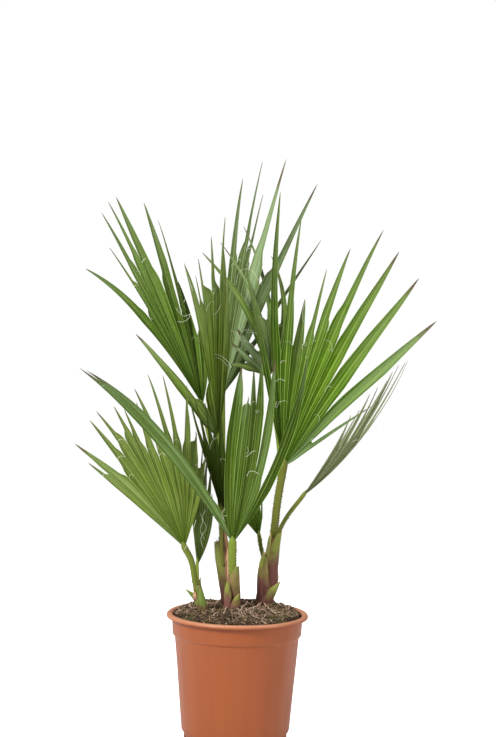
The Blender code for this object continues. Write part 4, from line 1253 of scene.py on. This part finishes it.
# Olive centre frond. Its upright pleats fill the middle of the plant on the left.
make_frond(
    "leaf_centre_olive", "frond_centre_olive", "olive_leaf", 105, green_stalk,
    leaf_faces(
        "centre_olive", ((0.14, 0.235, 0.01), (0.014, 0.031, 0.0), (0.26, 0.34, 0.07), (0.24, 0.31, 0.13)),
        ((0.09, 0.13, 0.02), (0.04, 0.07, 0.006), (0.18, 0.22, 0.08), (0.14, 0.17, 0.08))),
    route=[(-20, 8, 232), (-22, 9, 258), (-25, 17, 326), (-30, 25, 400)],
    tips=[
        (-141, -30, 538), (-76, -70, 631), (-61, -56, 617), (-60, -42, 638), (-43, -20, 669),
        (-29, 4, 697), (-21, 24, 614),
    ],
    radii=(2.9, 2.9), width=6.5, fold=0.7,
    notches={1: 2, 2: 7, 3: 7, 4: 7, 5: 6, 6: 7},
    widths={1: 3, 2: 3, 3: 3.5, 4: 6, 5: 3.5, 6: 6},
    tapers={2: 7, 3: 7, 4: 6, 5: 6, 6: 6},
    bends={0: (0, 8), 1: (4, 0), 2: (1, 0), 3: (1, 0), 4: (-3, 0), 5: (-3, 0)},
    tints={0: 1.2, 5: 0.3},
    curls=(
        ([(-37, 6, 514), (-29, 5, 512), (-20, 5, 505), (-14, 6, 496)], 0.24),
        ([(-35, 6, 510), (-27, 5, 506), (-19, 6, 498)], 0.2),
        ([(-51, -6, 566), (-43, -7, 565), (-35, -7, 570), (-30, -6, 580)], 0.22),
    ),
)


# Upper left frond. A broad fan that spreads up and to the left.
make_frond(
    "leaf_top_left", "frond_top_left", "leaf", 106, green_stalk,
    leaf_faces(
        "top_left", ((0.09, 0.17, 0.014), (0.04, 0.082, 0.004), (0.19, 0.27, 0.07), (0.13, 0.16, 0.08)),
        ((0.09, 0.14, 0.03), (0.05, 0.08, 0.01), (0.18, 0.22, 0.09), (0.13, 0.15, 0.08))),
    route=[(-20, 18, 232), (-22, 18, 258), (-31, 30, 346), (-53, 40, 443)],
    tips=[
        (-215, 40, 625), (-184, 52, 654), (-195, 58, 704), (-186, 62, 719), (-176, 66, 725),
        (-140, 72, 719), (-119, 76, 698), (-91, 80, 611), (-82, 85, 636),
    ],
    radii=(2.9, 3.2), width=8.5, fold=0.6, bow=0.02,
    notches={1: 4, 2: 6, 3: 6, 4: 6, 5: 5, 6: 4, 7: 6, 8: 4},
    widths={1: 2.5, 8: 3.5},
    bends={0: (-4, 27), 1: (-3, 12), 8: (12, 0)},
    curls=(
        ([
            (-93, 46, 561), (-90, 45, 557), (-83, 44, 556), (-75, 44, 560), (-70, 44, 570),
            (-66, 45, 579)
        ], 0.22),
        ([(-92, 46, 575), (-87, 45, 569), (-81, 45, 564), (-71, 44, 567)], 0.2),
    ),
)


# Top frond. The tallest leaf, seen partly from its pale waxy underside, with painted sheen of reflected
# light on its palest blades.
make_frond(
    "leaf_top", "frond_top", "leaf", 107, green_stalk,
    leaf_faces(
        "top", ((0.108, 0.17, 0.04), (0.052, 0.088, 0.012), (0.25, 0.31, 0.15), (0.15, 0.19, 0.1)),
        ((0.1, 0.16, 0.03), (0.05, 0.09, 0.01), (0.2, 0.26, 0.1), (0.14, 0.17, 0.08))),
    threads=1.4,
    route=[(-19, 27, 232), (-21, 27, 258), (-23, 45, 346), (-26, 68, 457)],
    tips=[(-6, 116, 757), (22, 112, 782), (26, 100, 735), (54, 76, 783), (98, 80, 748), (108, 112, 674)],
    radii=(2.9, 3.2), width=7, fold=0.6, bow=0.02,
    notches={1: 5, 2: 6, 3: 5, 4: 4, 5: 2},
    widths={0: 5, 1: 2.5, 2: 3, 5: 4},
    bends={4: (-7, 0), 5: (-8, 0)},
    tints={0: -0.8, 1: 0.2, 2: 0.2, 3: 1.8, 4: 1.3, 5: -0.8},
)


# Right frond. The largest and brightest fan, on a stout stalk with dark thorny edges.
make_frond(
    "leaf_right", "frond_right", "leaf", 108, olive_stalk,
    leaf_faces(
        "right", ((0.086, 0.178, 0.002), (0.018, 0.052, 0.0), (0.22, 0.34, 0.06), (0.15, 0.175, 0.085)),
        ((0.1, 0.17, 0.02), (0.055, 0.1, 0.008), (0.2, 0.28, 0.08), (0.13, 0.16, 0.07)), vein=0.45),
    teeth=0.5,
    route=[(46, 47, 238), (48, 47, 272), (52, 43, 316), (59, 35, 362)],
    tips=[
        (4, 30, 626), (47, 66, 738), (77, 58, 702), (84, 54, 590), (113, 48, 631), (143, 40, 659),
        (187, 30, 685), (209, 20, 655), (235, 8, 619), (257, -2, 563), (173, 5, 447),
    ],
    radii=(5.4, 5.2), width=10.5, fold=0.55, bow=0.03,
    notches={1: 2, 2: 3, 3: 5, 4: 6, 5: 5, 6: 5, 7: 4, 8: 3, 9: 2, 10: 2},
    widths={0: 5.5, 1: 6.5, 2: 6, 10: 2.5},
    tapers={3: 7},
    bends={0: (-4, 0), 1: (-15, 0), 2: (-8, 0), 5: (-3, 1), 6: (-4, 1), 7: (-4, 2), 8: (-2, 2)},
    tints={0: -0.5, 1: -0.3, 2: 0.0, 3: 0.2, 4: 0.4, 5: 0.7, 6: 0.8, 7: 0.9, 8: 1.1, 9: 1.5, 10: 1.7},
    curls=(
        ([(85, 34, 512), (90, 33, 509), (93, 33, 502), (92, 34, 494), (87, 35, 487), (84, 36, 475)], 0.22),
        ([(101, 34, 498), (97, 34, 494), (95, 34, 485)], 0.18),
        ([(46, 22, 478), (51, 21, 482), (58, 21, 479)], 0.2),
        ([(82, 46, 555), (81, 46, 573), (85, 45, 592)], 0.2),
    ),
)


# Low right frond. Nearly closed and turned edge-on, so that its blades run side by side.
make_frond(
    "leaf_right_low", "frond_right_low", "olive_leaf", 109, olive_stalk,
    leaf_faces(
        "right_low", ((0.15, 0.185, 0.065), (0.045, 0.058, 0.016), (0.32, 0.35, 0.2), (0.15, 0.16, 0.09)),
        ((0.18, 0.22, 0.1), (0.08, 0.1, 0.04), (0.32, 0.36, 0.22), (0.18, 0.2, 0.12)), vein=0.6),
    route=[(48, 35, 238), (52, 34, 267), (64, 8, 297), (84, -20, 329)],
    tips=[
        (141, -116, 443), (158, -112, 465), (174, -106, 480), (190, -99, 499), (214, -88, 511),
        (209, -73, 511), (203, -58, 505), (188, -42, 486), (170, -28, 467), (156, -16, 445),
    ],
    radii=(2.9, 2.9), width=6.5, fold=0.5,
    bends={
        0: (1, -2), 1: (3, -6), 2: (4, -9), 3: (5, -11), 4: (6, -14), 5: (6, -13), 6: (5, -12),
        7: (4, -9), 8: (3, -6), 9: (2, -3),
    },
)


# Small frond. A seedling leaf low down behind the front one.
make_frond(
    "leaf_small", "frond_small", "leaf", 110, green_stalk,
    leaf_faces(
        "small", ((0.065, 0.125, 0.01), (0.035, 0.075, 0.003), (0.12, 0.19, 0.03), (0.09, 0.12, 0.04)),
        ((0.07, 0.12, 0.02), (0.04, 0.08, 0.01), (0.13, 0.2, 0.04), (0.09, 0.12, 0.04))),
    threads=0.3,
    route=[(37, 55, 198), (35, 66, 227), (31, 72, 244), (28, 75, 260)],
    tips=[(0, 90, 302), (8, 100, 326), (17, 108, 336), (25, 112, 331), (31, 114, 315)],
    radii=(2.6, 2.8), width=9, fold=0.5,
)


# Back frond. A leaf behind the others, of which only dark blades show between them.
make_frond(
    "leaf_back", "frond_back", "dark_leaf", 111, green_stalk,
    leaf_faces(
        "back", ((0.18, 0.3, 0.035), (0.026, 0.055, 0.004), (0.3, 0.4, 0.14), (0.12, 0.14, 0.06)),
        ((0.07, 0.11, 0.02), (0.03, 0.05, 0.01), (0.15, 0.19, 0.08), (0.1, 0.12, 0.06))),
    route=[(46, 59, 238), (48, 61, 266), (54, 66, 368), (36, 62, 481)],
    tips=[
        (-17, 54, 499), (-16, 50, 530), (-8, 44, 548), (-59, 40, 650), (-32, 57, 666), (-3, 86, 690),
        (38, 92, 648),
    ],
    radii=(2.8, 3.0), width=5, fold=0.5,
    notches={1: 5, 2: 4, 3: 2, 4: 3, 5: 3, 6: 3},
    widths={0: 7, 1: 8, 2: 7, 4: 3, 5: 4},
    bends={0: (0, 5), 3: (15, 8), 4: (18, 0), 5: (17, 0), 6: (19, 0)},
    tints={0: 0.9, 1: 2.0, 2: 2.2, 3: 0.8, 4: 1.5, 5: 1.3, 6: 0.2},
    curls=(
        ([(1, 38, 526), (-4, 38, 536), (-1, 37, 545), (8, 37, 547), (18, 37, 542), (26, 37, 532)], 0.24),
        ([(-9, 36, 537), (-2, 36, 532), (7, 36, 531), (17, 36, 524)], 0.24),
        ([(-11, 36, 607), (-8, 35, 621), (0, 35, 629), (11, 35, 627), (19, 35, 616), (25, 36, 608)], 0.2),
        ([(4, 36, 563), (0, 36, 555), (4, 36, 545), (15, 37, 543)], 0.22),
        ([(-16, 36, 546), (-7, 36, 540), (-1, 36, 525), (-9, 36, 517)], 0.2),
    ),
)
